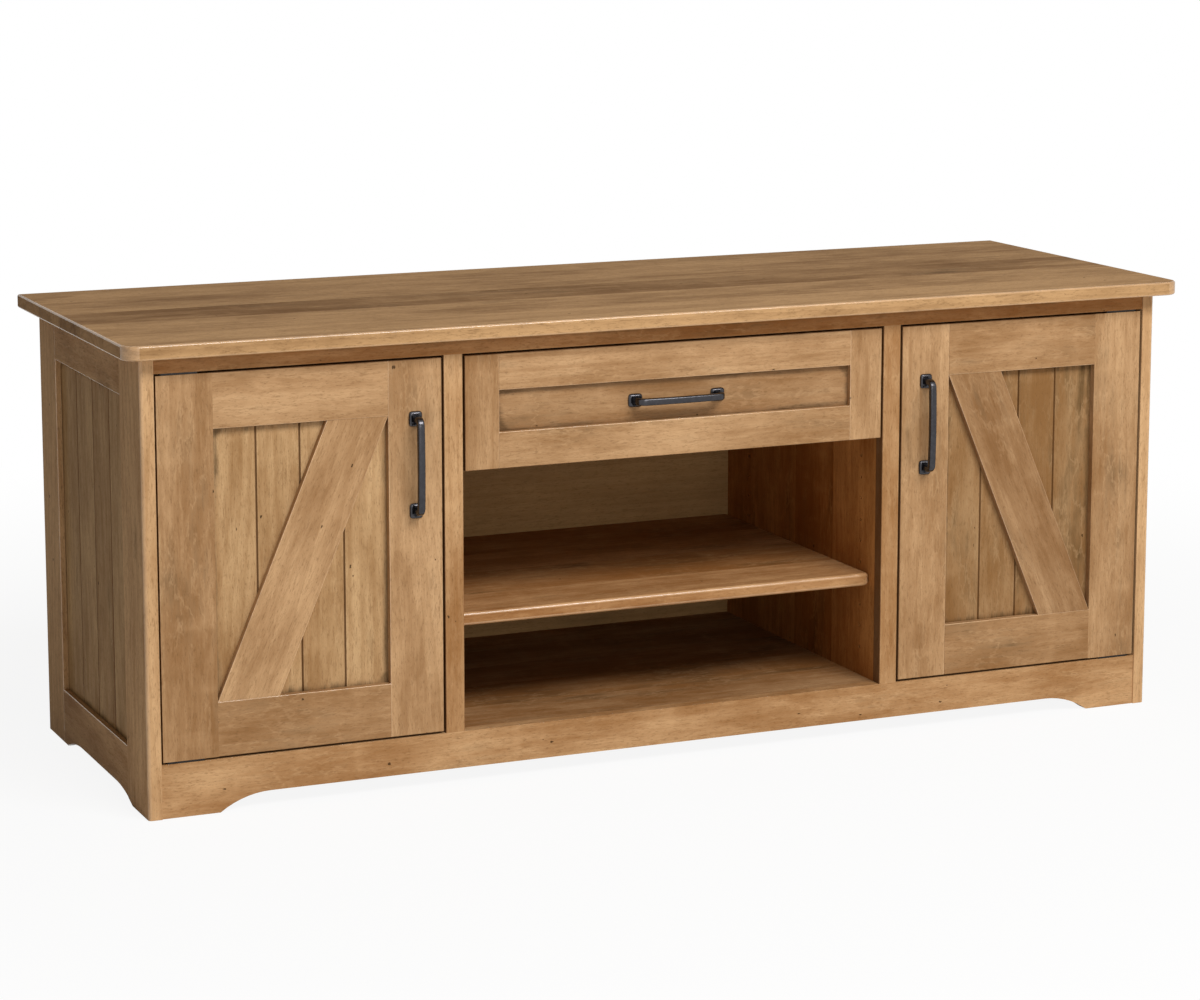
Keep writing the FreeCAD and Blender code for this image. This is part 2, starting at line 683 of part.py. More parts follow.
def framed_front(prefix, at, size, stile, rail, recess):
    """Blanks of a stile-and-rail frame, with the housing of its panel and the tenons of its rails."""
    x, z = at
    wide, tall = size
    clear = f"({wide} - 2 * {stile})"
    panel_at = (f"{x} + {stile} - tongue", f"face_y + {recess}", f"{z} + {rail} - tongue")
    panel_size = (f"{clear} + 2 * tongue", f"({tall} - 2 * {rail}) + 2 * tongue")
    housing = block(prefix + "_housing",
                    (f"{panel_at[0]} - panel_slack", panel_at[1], f"{panel_at[2]} - panel_slack"),
                    (f"{panel_size[0]} + 2 * panel_slack", "panel_thickness",
                     f"{panel_size[1]} + 2 * panel_slack"))
    made = {"tenons": [], "panel_at": panel_at, "panel_size": panel_size, "housing": housing}
    shoulder = "(tongue + panel_slack)"
    for name, rail_z in (("bottom_rail", z), ("top_rail", f"{z} + {tall} - {rail}")):
        bar = block(f"{prefix}_{name}_bar", (f"{x} + {stile}", "face_y", rail_z),
                    (clear, "front_thickness", rail))
        tenon = block(f"{prefix}_{name}_tenon",
                      (f"{x} + {stile} - tenon", f"face_y + {recess}", f"{rail_z} + {shoulder}"),
                      (f"{clear} + 2 * tenon", "panel_thickness", f"{rail} - 2 * {shoulder}"))
        made["tenons"].append(tenon)
        made[name] = cut(f"{prefix}_{name}_cut", fused(f"{prefix}_{name}_blank", [bar, tenon]), [housing])
    made["left_stile"] = block(prefix + "_left_stile_blank", (x, "face_y", z),
                               (stile, "front_thickness", tall))
    made["right_stile"] = block(prefix + "_right_stile_blank", (f"{x} + {wide} - {stile}", "face_y", z),
                                (stile, "front_thickness", tall))
    return made


def pull_screws(prefix, x, z, spread, head_y, grip_y):
    """Two pan-head screws from behind, along -Y; grip_y is the face that the pull stands on."""
    screws, holes = [], []
    for number, side in enumerate(("-", "+")):
        spot = (f"{x} {side} {spread[0]}", f"{z} {side} {spread[1]}")
        tip = f"{grip_y} - screw_grip"
        shank = rod(f"{prefix}_shank_{number}", (spot[0], tip, spot[1]), "screw_radius",
                    f"{head_y} - ({tip})", along="Y")
        head = rod(f"{prefix}_head_{number}", (spot[0], head_y, spot[1]),
                   "head_radius", "head_height", along="Y")
        screws.append(fused(f"{prefix}_screw_{number}", [shank, head]))
        holes.append(rod(f"{prefix}_bore_{number}", (spot[0], grip_y, spot[1]),
                         "screw_radius + screw_clearance",
                         f"{head_y} - ({grip_y})", along="Y"))
    return screws, holes


def make_pull(name, at, level_bar, screws):
    """Bow pull: two domed backplates and a bar that is swept through two elbows and a shallow bow."""
    pull = body(name, at)
    if level_bar:
        pull.Placement = FreeCAD.Placement(FreeCAD.Vector(), FreeCAD.Rotation(FreeCAD.Vector(0, 1, 0), 90))
        place(pull, at)
    half = "pull_centres / 2"
    plates = new_sketch(pull, "XZ")
    for side in ("-", ""):
        draw_rounded(plates, "-plate_width / 2", f"{side}{half} - plate_height / 2",
                     "plate_width / 2", f"{side}{half} + plate_height / 2", "plate_corner")
    seat = pad(pull, "XZ", plates, "plate_thickness", backward=True)
    face = -size_of("plate_thickness")
    rounded_edges(pull, seat, "plate_dome", lambda edge: level(edge, "Y", face))

    path = outline(pull, "YZ", [
        ("0", f"-{half}"), ("-pull_neck", f"-{half}"), ("bow_y", "-bow_z"), ("bow_y", "bow_z"),
        ("-pull_neck", half), ("0", half),
    ], {
        1: ("-pull_neck", f"pull_elbow - {half}"),
        2: ("bow_y + bow_radius * cos(pull_bow)", "0"),
        3: ("-pull_neck", f"{half} - pull_elbow"),
    }, closed=False)
    section = new_sketch(pull, "XZ")
    draw_rounded(section, "-bar_width / 2", f"-{half} - bar_depth / 2", "bar_width / 2",
                 f"-{half} + bar_depth / 2", "bar_corner")
    bar = pull.newObject("PartDesign::AdditivePipe", name + "_bar")
    bar.Profile = section
    bar.Spine = path
    bar.Refine = False
    pull.Tip = bar
    return cut(name + "_bored", pull, screws)


def make_doors(door_mortises):
    frame = framed_front("door", ("door_x", "door_z"), ("door_width", "door_height"),
                         "door_stile", "door_rail", "door_recess")
    screws, holes = pull_screws("door_pull", "pull_x", "pull_z", ("0", "pull_centres / 2"),
                                "behind_front_y", "face_y")
    joints = [frame["housing"]] + frame["tenons"]
    both_hands(cut("hinge_stile_cut", frame["left_stile"], joints + door_mortises), "door_hinge_stile")
    both_hands(cut("pull_stile_cut", frame["right_stile"], joints + holes), "door_pull_stile")
    both_hands(frame["top_rail"], "door_top_rail")
    both_hands(frame["bottom_rail"], "door_bottom_rail")

    wide, tall = frame["panel_size"]
    panel = body("door_panel", frame["panel_at"])
    pad(panel, "XY", outline(panel, "XY", [
        ("0", "0"), (wide, "0"), (wide, "panel_thickness"), ("0", "panel_thickness"),
    ]), tall)
    board = "(door_width - 2 * door_stile) / boards"
    groove = outline(panel, "XY", [
        (f"tongue + {board} - bead_width / 2", "0"), (f"tongue + {board} + bead_width / 2", "0"),
        (f"tongue + {board}", "bead_depth"),
    ])
    repeated(panel, pocket(panel, "XY", groove, tall), "X", "boards - 1", board)
    both_hands(panel, "door_panel")

    brace = body("brace", ("door_x + door_stile", "face_y", "door_z + door_rail"))
    clear_x, clear_z = "(door_width - 2 * door_stile)", "(door_height - 2 * door_rail)"
    pad(brace, "XZ", outline(brace, "XZ", [
        ("0", "0"), ("brace_width", "0"), (clear_x, clear_z), (f"{clear_x} - brace_width", clear_z),
    ]), "door_recess")
    both_hands(brace, "door_brace")
    both_hands(make_pull("door_pull", ("pull_x", "face_y", "pull_z"), False, screws), "door_pull")
    both_hands(group("door_screw_group", screws), "door_pull_screws")


# ---------------------------------------------------------------- drawer

def make_drawer():
    front = framed_front("drawer", ("drawer_x", "drawer_z"), ("drawer_width", "drawer_front_height"),
                         "drawer_frame", "drawer_frame", "drawer_recess")
    middle_z = "drawer_z + drawer_front_height / 2"
    screws, holes = pull_screws("drawer_pull", "0", middle_z, ("pull_centres / 2", "0"),
                                "behind_front_y + drawer_side", "face_y + drawer_recess")
    joints = [front["housing"]] + front["tenons"]
    node(cut("drawer_left_cut", front["left_stile"], joints), "drawer_front_left_stile")
    node(cut("drawer_right_cut", front["right_stile"], joints), "drawer_front_right_stile")
    node(front["top_rail"], "drawer_front_top_rail")
    node(front["bottom_rail"], "drawer_front_bottom_rail")
    wide, tall = front["panel_size"]
    panel = block("drawer_panel", front["panel_at"], (wide, "panel_thickness", tall))
    node(cut("drawer_panel_cut", panel, holes), "drawer_front_panel")
    pull = make_pull("drawer_pull", ("0", "face_y + drawer_recess", middle_z), True, screws)
    node(pull, "drawer_pull_handle")
    node(group("drawer_screw_group", screws), "drawer_pull_screws")
    make_drawer_box(holes)


def make_drawer_box(holes):
    """Box with through dovetails: tails on the sides, pins on the front and the back."""
    base = block("drawer_base", ("box_x + drawer_side - bottom_housing",
                                 "behind_front_y + drawer_side - bottom_housing", "box_z + bottom_lift"),
                 ("box_width - 2 * (drawer_side - bottom_housing)",
                  "drawer_box_depth - 2 * (drawer_side - bottom_housing)", "drawer_bottom"))
    node(base, "drawer_bottom_panel")
    side = body("drawer_side_blank", ("box_x", "behind_front_y", "box_z"))
    pad(side, "YZ", outline(side, "YZ", [
        ("0", "0"), ("drawer_box_depth", "0"), ("drawer_box_depth", "drawer_box_height"),
        ("0", "drawer_box_height"),
    ]), "drawer_side")
    pitch = "drawer_box_height / pins"
    for tip, inner in (("0", "drawer_side"), ("drawer_box_depth", "(drawer_box_depth - drawer_side)")):
        socket = outline(side, "YZ", [
            (tip, f"({pitch} - pin_tip) / 2"), (tip, f"({pitch} + pin_tip) / 2"),
            (inner, f"({pitch} + pin_base) / 2"), (inner, f"({pitch} - pin_base) / 2"),
        ])
        repeated(side, pocket(side, "YZ", socket, "drawer_side"), "Z", "pins", pitch)
    left = cut("drawer_left_side_cut", side, [base])
    both_hands(left, "drawer_side")
    right_blank = mirrored("drawer_side_blank_right", side)
    for name, y, extra in (("front", "behind_front_y", holes),
                           ("back", "behind_front_y + drawer_box_depth - drawer_side", [])):
        blank = block(f"drawer_box_{name}_blank", ("box_x", y, "box_z"),
                      ("box_width", "drawer_side", "drawer_box_height"))
        node(cut(f"drawer_box_{name}_cut", blank, [side, right_blank, base] + extra), f"drawer_box_{name}")


def channel(name, at, wide, high, opens_right=True):
    """Rolled steel channel along Y, open towards +X or -X."""
    made = body(name, at)
    deep = {"back": "0", "sheet": "slide_sheet", "lip": wide}
    if not opens_right:
        deep = {"back": wide, "sheet": f"{wide} - slide_sheet", "lip": "0"}
    pad(made, "XZ", outline(made, "XZ", [
        (deep["back"], "0"), (deep["lip"], "0"), (deep["lip"], "slide_sheet"),
        (deep["sheet"], "slide_sheet"), (deep["sheet"], f"{high} - slide_sheet"),
        (deep["lip"], f"{high} - slide_sheet"), (deep["lip"], high), (deep["back"], high),
    ]), "drawer_box_depth")
    return made


def make_slides():
    """Three nested channels on each side of the drawer, so that it opens past the length of one."""
    y = "behind_front_y"
    step = "(slide_sheet + slide_gap)"
    outer = channel("outer_slide", ("-bay_x", y, "slide_z"), "slide_lip", "slide_height")
    middle = channel("middle_slide", (f"-bay_x + {step}", y, f"slide_z + {step}"), "slide_lip",
                     f"(slide_height - 2 * {step})")
    inner = channel("inner_slide", (f"-bay_x + 2 * {step}", y, f"slide_z + 2 * {step}"),
                    f"(slide_width - 2 * {step})", f"(slide_height - 4 * {step})", opens_right=False)
    for made, label in ((outer, "slide_cabinet_members"), (middle, "slide_middle_members"),
                        (inner, "slide_drawer_members")):
        node(group(label + "_group", [made, mirrored(label + "_right", made)]), label)


# ---------------------------------------------------------------- build, check and write

cabinet_mortises, door_mortises = make_hinges()
make_top()
make_ends()
make_case(cabinet_mortises)
make_shelf()
make_catches()
make_doors(door_mortises)
make_drawer()
make_slides()
doc.recompute()

for thing in doc.Objects:
    if "Invalid" in thing.State or "Error" in thing.State:
        raise RuntimeError(f"{thing.Name} ({thing.Label}) failed: {thing.State}")
    if thing.TypeId == "PartDesign::Pocket" and thing.Shape.Volume > thing.BaseFeature.Shape.Volume - 1:
        raise RuntimeError(f"{thing.Name} cuts nothing")
    if thing.TypeId == "Sketcher::SketchObject" and thing.solve() != 0:
        raise RuntimeError(f"{thing.Name} has sizes that contradict each other")

for piece in nodes:
    if piece.Shape.isNull() or not piece.Shape.isValid():
        raise RuntimeError(f"{piece.Label} has no valid shape")

os.makedirs("parts", exist_ok=True)
for piece in nodes:
    piece.Shape.exportStep(f"parts/{piece.Label}.step")
    print(f"{piece.Label}: {len(piece.Shape.Solids)} solid(s), {piece.Shape.Volume / 1000:.1f} cm3")
print(len(nodes), "nodes")
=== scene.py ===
# %% [markdown]
# # A low media stand in stained maple
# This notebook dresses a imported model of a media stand: two doors with diagonal braces, one drawer over
# an open bay, and frame-and-panel ends under a wide top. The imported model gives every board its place;
# what is made here is what a cabinet maker does last: eased edges, stain, glaze, lacquer and hardware.
# All lengths are metres. X runs to the right, the front faces -Y and Z is up.

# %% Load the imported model
import json
import math
import random

import bmesh
import bpy
import numpy as np
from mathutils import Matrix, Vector


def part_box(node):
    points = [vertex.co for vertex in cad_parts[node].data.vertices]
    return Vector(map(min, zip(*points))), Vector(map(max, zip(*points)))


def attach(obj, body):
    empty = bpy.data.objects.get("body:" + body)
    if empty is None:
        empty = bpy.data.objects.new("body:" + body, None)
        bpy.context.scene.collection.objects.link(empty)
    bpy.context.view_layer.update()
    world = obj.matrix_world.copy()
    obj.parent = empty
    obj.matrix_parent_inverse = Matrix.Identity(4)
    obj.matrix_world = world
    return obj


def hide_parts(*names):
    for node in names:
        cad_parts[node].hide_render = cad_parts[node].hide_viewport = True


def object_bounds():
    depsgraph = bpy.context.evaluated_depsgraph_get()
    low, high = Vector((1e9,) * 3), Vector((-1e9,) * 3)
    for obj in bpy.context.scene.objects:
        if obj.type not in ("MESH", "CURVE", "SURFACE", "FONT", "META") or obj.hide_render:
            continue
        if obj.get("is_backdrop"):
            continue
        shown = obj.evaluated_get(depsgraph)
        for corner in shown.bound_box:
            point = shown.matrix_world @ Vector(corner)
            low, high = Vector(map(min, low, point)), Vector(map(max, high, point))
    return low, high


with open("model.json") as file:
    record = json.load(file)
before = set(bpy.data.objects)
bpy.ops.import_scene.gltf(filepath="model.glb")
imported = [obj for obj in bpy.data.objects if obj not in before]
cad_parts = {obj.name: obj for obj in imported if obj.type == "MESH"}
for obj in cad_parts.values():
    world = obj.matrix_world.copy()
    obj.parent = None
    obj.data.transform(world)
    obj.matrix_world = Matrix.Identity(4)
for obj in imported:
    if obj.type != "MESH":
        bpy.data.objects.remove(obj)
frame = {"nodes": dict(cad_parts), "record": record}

MM = 0.001
cad_low, cad_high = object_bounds()
body_of = {node: body for body, nodes in frame["record"]["behaviour"]["bodies"].items() for node in nodes}
slot_of = {row["node"]: row["material_slot"] for row in frame["record"]["subparts"]}

# %% [markdown]
# ## Camera
# The stand is seen from the front left, a little above its top, through a long lens, so that its upright
# edges stay nearly parallel. A small lens shift does what a view camera's rising front does: it lowers
# the object in the picture with less tilt of the camera.

# %% Camera
def make_camera(at, yaw, pitch, lens, shift):
    """Camera at a place. Yaw turns it right of +Y and pitch up from level, in degrees; lens is in mm."""
    camera = bpy.data.objects.new("camera", bpy.data.cameras.new("camera"))
    bpy.context.scene.collection.objects.link(camera)
    camera.location = at
    camera.rotation_euler = (math.radians(90 + pitch), 0, math.radians(-yaw))
    camera.data.lens = lens
    camera.data.shift_y = shift
    camera.data.clip_end = 200
    bpy.context.scene.camera = camera
    return camera


camera = make_camera((-1.999, -4.518, 1.316), yaw=23.74, pitch=-9.24, lens=101.6, shift=-0.1)
print("camera", [round(c, 2) for c in camera.location], "lens", camera.data.lens, "mm")

# %% [markdown]
# ## Shader sheets
# A material here is a page of sums on the place of a point in its board. Writing those sums as Python
# expressions keeps them readable, so a small class wraps a node's output and turns `+`, `-` and `*` into
# Math nodes. Any other node comes from one method, which sets the node up first and fills its sockets.

# %% A wire carries a number, a vector or a colour
class Wire:
    def __init__(self, page, socket):
        self.page, self.socket = page, socket

    def __add__(self, other):
        return self.page.math("ADD", self, other)

    def __radd__(self, other):
        return self.page.math("ADD", other, self)

    def __sub__(self, other):
        return self.page.math("SUBTRACT", self, other)

    def __rsub__(self, other):
        return self.page.math("SUBTRACT", other, self)

    def __mul__(self, other):
        return self.page.math("MULTIPLY", self, other)

    def __rmul__(self, other):
        return self.page.math("MULTIPLY", other, self)

    def __truediv__(self, other):
        return self.page.math("DIVIDE", self, other)

    def __pow__(self, other):
        return self.page.math("POWER", self, other)

    def __abs__(self):
        return self.page.math("ABSOLUTE", self)


# %% A page is a tree of nodes
class Page:
    def __init__(self, tree):
        self.tree = tree

    def node(self, kind, settings=None, sockets=None, output=0):
        """One node: its settings first, then the values or wires of its sockets."""
        made = self.tree.nodes.new(kind)
        for key, value in (settings or {}).items():
            setattr(made, key, value)
        for key, value in (sockets or {}).items():
            if isinstance(value, Wire):
                self.tree.links.new(value.socket, made.inputs[key])
            elif isinstance(value, tuple) and made.inputs[key].type == "RGBA":
                made.inputs[key].default_value = (*value, 1)
            else:
                made.inputs[key].default_value = value
        return Wire(self, made.outputs[output])

    def math(self, operation, *values):
        return self.node("ShaderNodeMath", {"operation": operation}, dict(enumerate(values)))

    def vector(self, operation, first, second):
        return self.node("ShaderNodeVectorMath", {"operation": operation}, {0: first, 1: second})

    def join(self, x, y, z):
        """A vector from three numbers."""
        return self.node("ShaderNodeCombineXYZ", {}, {0: x, 1: y, 2: z})

    def split(self, vector):
        """The three numbers of a vector."""
        first = self.node("ShaderNodeSeparateXYZ", {}, {0: vector})
        return [Wire(self, output) for output in first.socket.node.outputs]

    def ease(self, value, low, high):
        """0 below low, 1 above high and smooth between; low may be the greater of the two."""
        if low > high:
            return 1 - self.ease(value, high, low)
        return self.node("ShaderNodeMapRange", {"interpolation_type": "SMOOTHSTEP"},
                         {"Value": value, "From Min": low, "From Max": high})


# %% A sheet is the page of one material
class Sheet(Page):
    def __init__(self, name):
        self.material = bpy.data.materials.new(name)
        self.material.use_nodes = True
        super().__init__(self.material.node_tree)
        self.tree.nodes.clear()
        self.out = self.tree.nodes.new("ShaderNodeOutputMaterial")

    def mix(self, share, low, high):
        """Colour between two colours."""
        return self.node("ShaderNodeMix", {"data_type": "RGBA"}, {0: share, 6: low, 7: high}, 2)

    def noise(self, at, stretch, detail=2.0, rough=0.5):
        """Noise about 0, with so many lumps to the metre along each axis."""
        fac = self.node("ShaderNodeTexNoise", {}, {
            "Vector": self.vector("MULTIPLY", at, stretch), "Scale": 1.0,
            "Detail": detail, "Roughness": rough})
        return (fac - 0.5) * 2.0

    def named(self, attribute, output):
        """What a mesh stores under a name: its number is the output Fac, its vector the output Vector."""
        return self.node("ShaderNodeAttribute", {"attribute_name": attribute}, output=output)

    def finish(self, colour, rough, bump=None, height=0.0, **fixed):
        """Close the page with its surface. Fixed values go straight on the shader's own sockets."""
        sockets = {"Base Color": colour, "Roughness": rough}
        if bump is not None:
            sockets["Normal"] = self.node("ShaderNodeBump", {}, {"Height": bump, "Distance": height})
        sockets.update({key.replace("_", " "): value for key, value in fixed.items()})
        surface = self.node("ShaderNodeBsdfPrincipled", {}, sockets)
        self.tree.links.new(surface.socket, self.out.inputs["Surface"])
        return self.material


print("shader sheets ready")

# %% [markdown]
# ## Stained maple
# The real boards are maple with a brown stain that was wiped off unevenly. From far to near one sees:
# boards of differing tone, slow cloudy blotches with a greyer brown in them, faint growth-ring arches,
# short fibres, and sparse insect ticks that the maker leaves for a rustic look. Dark glaze stays in the
# grooves. Painted shade darkens the faces that look into the gaps, the face top rail under the overhang and
# the walls of the open bay, and the edges of a recessed panel darken with dirt and painted shade. The
# arrises are paler, for rubbed wear and a painted highlight. Every pattern is laid in the board's own
# directions (along the grain, across it and through it), which each board carries as an attribute, because
# a shelf, a post and a slanting brace all turn the grain another way.

# %% Sizes and strengths of the patterns
# Lumps to the metre: along the grain, across it and through the board.
LUMPS = {
    "cloud": (2.6, 10, 10),
    "blot": (9, 30, 30),
    "streak": (6, 110, 110),
    "haze": (4.2, 12, 12),
    "wisp": (13, 36, 36),
    "wander": (0.9, 2, 2),
    "fibre": (40, 340, 340),
    "fleck": (120, 460, 460),
    "curl": (34, 11, 11),
}
# How far each pattern goes towards its own colour, from 0 to 1.
SHOWS = {"haze": 0.9, "wisp": 0.26, "ring": 0.2, "fibre": 0.6, "fleck": 0.45, "curl": 0.22, "tick": 0.85,
         "dirt_and_shade": 0.75, "rub_and_highlight": 0.4}
RING_WIDTH = 13 * MM
HEART_DEPTH = 50 * MM      # from a board's middle to the heart of its trunk
TICK_CELLS = (8.0, 18.0)   # cells to the metre, along the grain and across it
TICK_LUCK = 0.7            # a cell whose luck is under this has no tick
TICK_RADIUS = 0.013        # in cells
GRAIN_RELIEF = 0.14 * MM
FLAT_COAT = 0.05           # share of the lacquer's gloss that a flat shows; an arris shows all of it
GLAZE_AND_SHADE = (0.3, 0.21, 0.16)         # share of the deep colour that glaze and painted shade let through, by channel
SHADE_TINT = (1.0, 0.7, 0.38)    # share of any colour that the painted shade tint lets through, by channel


def toned(colour, share):
    """A colour made darker or paler by a share."""
    return tuple(min(1.0, c * share) for c in colour)


print(len(LUMPS), "noises and", len(SHOWS), "patterns in the wood")

# %% Wood finish
def wood(name, pale, deep, smoke, ticks=1.0, blotch=1.0, lacquer=0.4):
    """Stained board. pale, deep and smoke are the colours that the stain wanders between."""
    sheet = Sheet(name)
    at = sheet.named("board_at", "Vector")
    tone = sheet.named("tone", "Fac")
    arris = sheet.named("arris", "Fac")
    glaze_and_shade = sheet.named("glaze_and_shade", "Fac")
    along, across, through = sheet.split(at)

    # slow clouds of stain, longer along the grain than across it
    cloud = sheet.noise(at, LUMPS["cloud"], 4.0, 0.62)
    blot = sheet.noise(at, LUMPS["blot"], 6.0, 0.72)
    streak = sheet.noise(at, LUMPS["streak"], 5.0, 0.68)
    shade = 0.58 + cloud * (0.75 * blotch) + blot * (0.5 * blotch) + streak * 0.42 + tone * 0.7
    colour = sheet.mix(sheet.ease(shade, -0.2, 1.2), deep, pale)

    # a greyer, dirtier brown in the hollows of the blotches, with ragged ends along the grain
    haze = sheet.noise(at, LUMPS["haze"], 4.0, 0.62) * 1.4 + blot * 0.8 + streak * 0.6
    colour = sheet.mix(sheet.ease(haze - tone * 0.45, 0.2, 1.25) * (SHOWS["haze"] * blotch), colour, smoke)

    # pale wisps where the figure curls inside those hollows
    wisp = sheet.ease(abs(sheet.noise(at, LUMPS["wisp"], 4.0, 0.6)), 0.07, 0.0) * sheet.ease(haze, -0.3, 0.5)
    colour = sheet.mix(wisp * (SHOWS["wisp"] * blotch), colour, pale)

    # growth rings: circles round the heart of a trunk that wanders as it goes along the board
    wander = sheet.noise(at, LUMPS["wander"], 1.0)
    radius = ((across + wander * 0.05) ** 2.0 + (through + HEART_DEPTH + wander * 0.06) ** 2.0) ** 0.5
    ring = sheet.math("FRACT", (radius + blot * 0.003) / RING_WIDTH)
    colour = sheet.mix(sheet.ease(ring, 0.45, 1.0) * SHOWS["ring"], colour, deep)

    # short dark fibres, finer flecks, and a pale curl across the grain
    fibre = sheet.noise(at, LUMPS["fibre"], 4.0, 0.78)
    fleck = sheet.noise(at, LUMPS["fleck"], 3.0, 0.75)
    curl = sheet.noise(at, LUMPS["curl"], 3.0)
    colour = sheet.mix(sheet.ease(fibre + streak * 0.3, 0.0, 0.5) * SHOWS["fibre"], colour, toned(deep, 0.76))
    colour = sheet.mix(sheet.ease(fleck, 0.04, 0.42) * SHOWS["fleck"], colour, toned(deep, 0.58))
    colour = sheet.mix(sheet.ease(curl + fibre * 0.9, 0.05, 0.8) * SHOWS["curl"], colour, toned(pale, 1.14))

    # insect ticks: in some cells of a loose net lies one short dark dash
    net = sheet.join(along * TICK_CELLS[0], across * TICK_CELLS[1] + blot * 0.2, 0.0)
    cell = sheet.node("ShaderNodeTexVoronoi", {"voronoi_dimensions": "2D"}, {"Vector": net, "Scale": 1.0})
    lot = sheet.node("ShaderNodeSeparateColor", {}, {0: Wire(sheet, cell.socket.node.outputs["Color"])})
    luck, length = lot, Wire(sheet, lot.socket.node.outputs[1])
    dash = sheet.ease(cell - length * 0.012 + fibre * 0.006, TICK_RADIUS, 0.006)
    tick = dash * sheet.ease(luck, TICK_LUCK, TICK_LUCK + 0.01) * ticks
    colour = sheet.mix(tick * SHOWS["tick"], colour, toned(deep, 0.16))

    # dirt and painted shade where a board meets its frame, and painted shade under the overhang,
    # with a ragged border
    edge_dirt_and_shade = sheet.named("edge_dirt_and_shade", "Fac")
    dirt_and_shade = sheet.ease(edge_dirt_and_shade + blot * 0.9 + streak * 0.7, 0.4, 1.3) * SHOWS["dirt_and_shade"]
    colour = sheet.mix(dirt_and_shade, colour, toned(smoke, 0.34))

    # painted shade: a darker, redder colour on boards that lie in shade, most of all on the walls of the open
    # bay
    shade_tint = sheet.named("shade_tint", "Fac")
    colour = sheet.mix(shade_tint, colour, sheet.vector("MULTIPLY", colour, SHADE_TINT))

    # paler arrises, for rubbed wear and a painted highlight; glaze, thick in grooves and thin over a few
    # whole boards; and painted shade on the faces that look into the gaps
    rub_and_highlight = arris * sheet.ease(streak + blot, -0.9, 0.3)
    colour = sheet.mix(rub_and_highlight * SHOWS["rub_and_highlight"], colour, toned(pale, 1.4))
    colour = sheet.mix(glaze_and_shade, colour, tuple(c * share for c, share in zip(deep, GLAZE_AND_SHADE)))

    bump = fibre * 0.4 - fleck * 0.5 - tick * 3.0 + streak * 0.3
    rough = lacquer + blot * 0.06 + fleck * 0.08 - rub_and_highlight * 0.08
    return sheet.finish(colour, rough, bump, GRAIN_RELIEF, Specular_IOR_Level=0.0,
                        Coat_Weight=arris * (1 - FLAT_COAT) + FLAT_COAT, Coat_Roughness=0.22, Coat_IOR=1.7)


def srgb(red, green, blue):
    """A colour as a paint chart gives it, 0 to 255, in the linear light that a shader works in."""
    shares = (c / 255 for c in (red, green, blue))
    return tuple(c / 12.92 if c <= 0.04045 else ((c + 0.055) / 1.055) ** 2.4 for c in shares)


# %% The wood finishes of this stand
finishes = {
    "top_wood": wood("top_wood", srgb(193, 153, 108), srgb(124, 88, 51), srgb(100, 76, 49), blotch=1.35),
    "case_wood": wood("case_wood", srgb(211, 171, 126), srgb(146, 101, 58), srgb(110, 81, 50), blotch=1.2),
    "door_wood": wood("door_wood", srgb(208, 169, 126), srgb(142, 103, 65), srgb(112, 86, 58), blotch=1.15),
    "panel_wood": wood("panel_wood", srgb(203, 167, 123), srgb(142, 103, 62), srgb(108, 83, 52), blotch=1.3),
    "back_wood": wood("back_wood", srgb(184, 146, 98), srgb(142, 106, 65), srgb(122, 95, 61),
                      ticks=0.0, blotch=0.7, lacquer=0.6),
    "drawer_box_wood": wood("drawer_box_wood", srgb(226, 199, 158), srgb(196, 163, 118), srgb(188, 160, 120),
                            ticks=0.3, blotch=0.6, lacquer=0.45),
}
print("wood finishes:", ", ".join(finishes))

# %% [markdown]
# ## Metal and plastic
# The pulls are blackened metal with a soft sheen, the slides zinc-plated steel with its grey mottling,
# the hinge leaves and their screws blackened steel, and the catches moulded brown plastic. Each is a few
# noises at the scale of the real thing, on Object coordinates, because these pieces follow no grain.

# %% Metal and plastic finishes
MOTTLE = 0.6      # how far the patches go towards the darker shade
GRIT_TO_LUMP = 9  # grains of grit to each lump, along any line


def fitting(name, colour, dark, rough, metal, lumps, height):
    """Plain hardware: two shades that wander, fine grit, and a roughness that changes with both."""
    sheet = Sheet(name)
    at = sheet.node("ShaderNodeTexCoord", output="Object")
    patch = sheet.noise(at, (lumps,) * 3, 3.0, 0.6)
    grit = sheet.noise(at, (lumps * GRIT_TO_LUMP,) * 3, 2.0)
    shade = sheet.mix(sheet.ease(patch + grit * 0.4, -0.7, 0.7) * MOTTLE, colour, dark)
    return sheet.finish(shade, rough + patch * 0.07 + grit * 0.05, grit, height, Metallic=metal)


finishes.update({
    "gunmetal": fitting("gunmetal", srgb(76, 75, 78), srgb(50, 49, 51),
                        rough=0.25, metal=1.0, lumps=180, height=0.008 * MM),
    "zinc_steel": fitting("zinc_steel", srgb(196, 200, 203), srgb(150, 155, 160),
                          rough=0.34, metal=1.0, lumps=140, height=0.02 * MM),
    "hinge_steel": fitting("hinge_steel", srgb(62, 58, 55), srgb(40, 37, 35),
                           rough=0.4, metal=1.0, lumps=220, height=0.02 * MM),
    "catch_plastic": fitting("catch_plastic", srgb(78, 52, 34), srgb(62, 40, 26),
                             rough=0.45, metal=0.0, lumps=300, height=0.03 * MM),
})
print(len(finishes), "finishes in all")

# %% [markdown]
# ## Boards with eased arrises
# A sharp edge never catches light, and a maker breaks every edge that a hand can reach with a touch of
# sandpaper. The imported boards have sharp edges, so each wooden one is copied, its loose triangles are
# merged, and the edges that stay exposed get a small rounded bevel. An edge where the next board goes on
# flush must stay sharp: a probe point just past the edge tells, because it then lies in a neighbour. The
# top needs no bevel, because its packed edges are rounded already, and the grooved panels need none,
# because their edges sit in their frames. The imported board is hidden, and its copy stands for it.

# %% Boxes of the wooden boards
timber = [node for node, slot in slot_of.items() if slot.endswith("wood")]
corners = {node: tuple(np.array(c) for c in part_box(node)) for node in timber}
slanting = [node for node in timber if node.endswith("brace")]


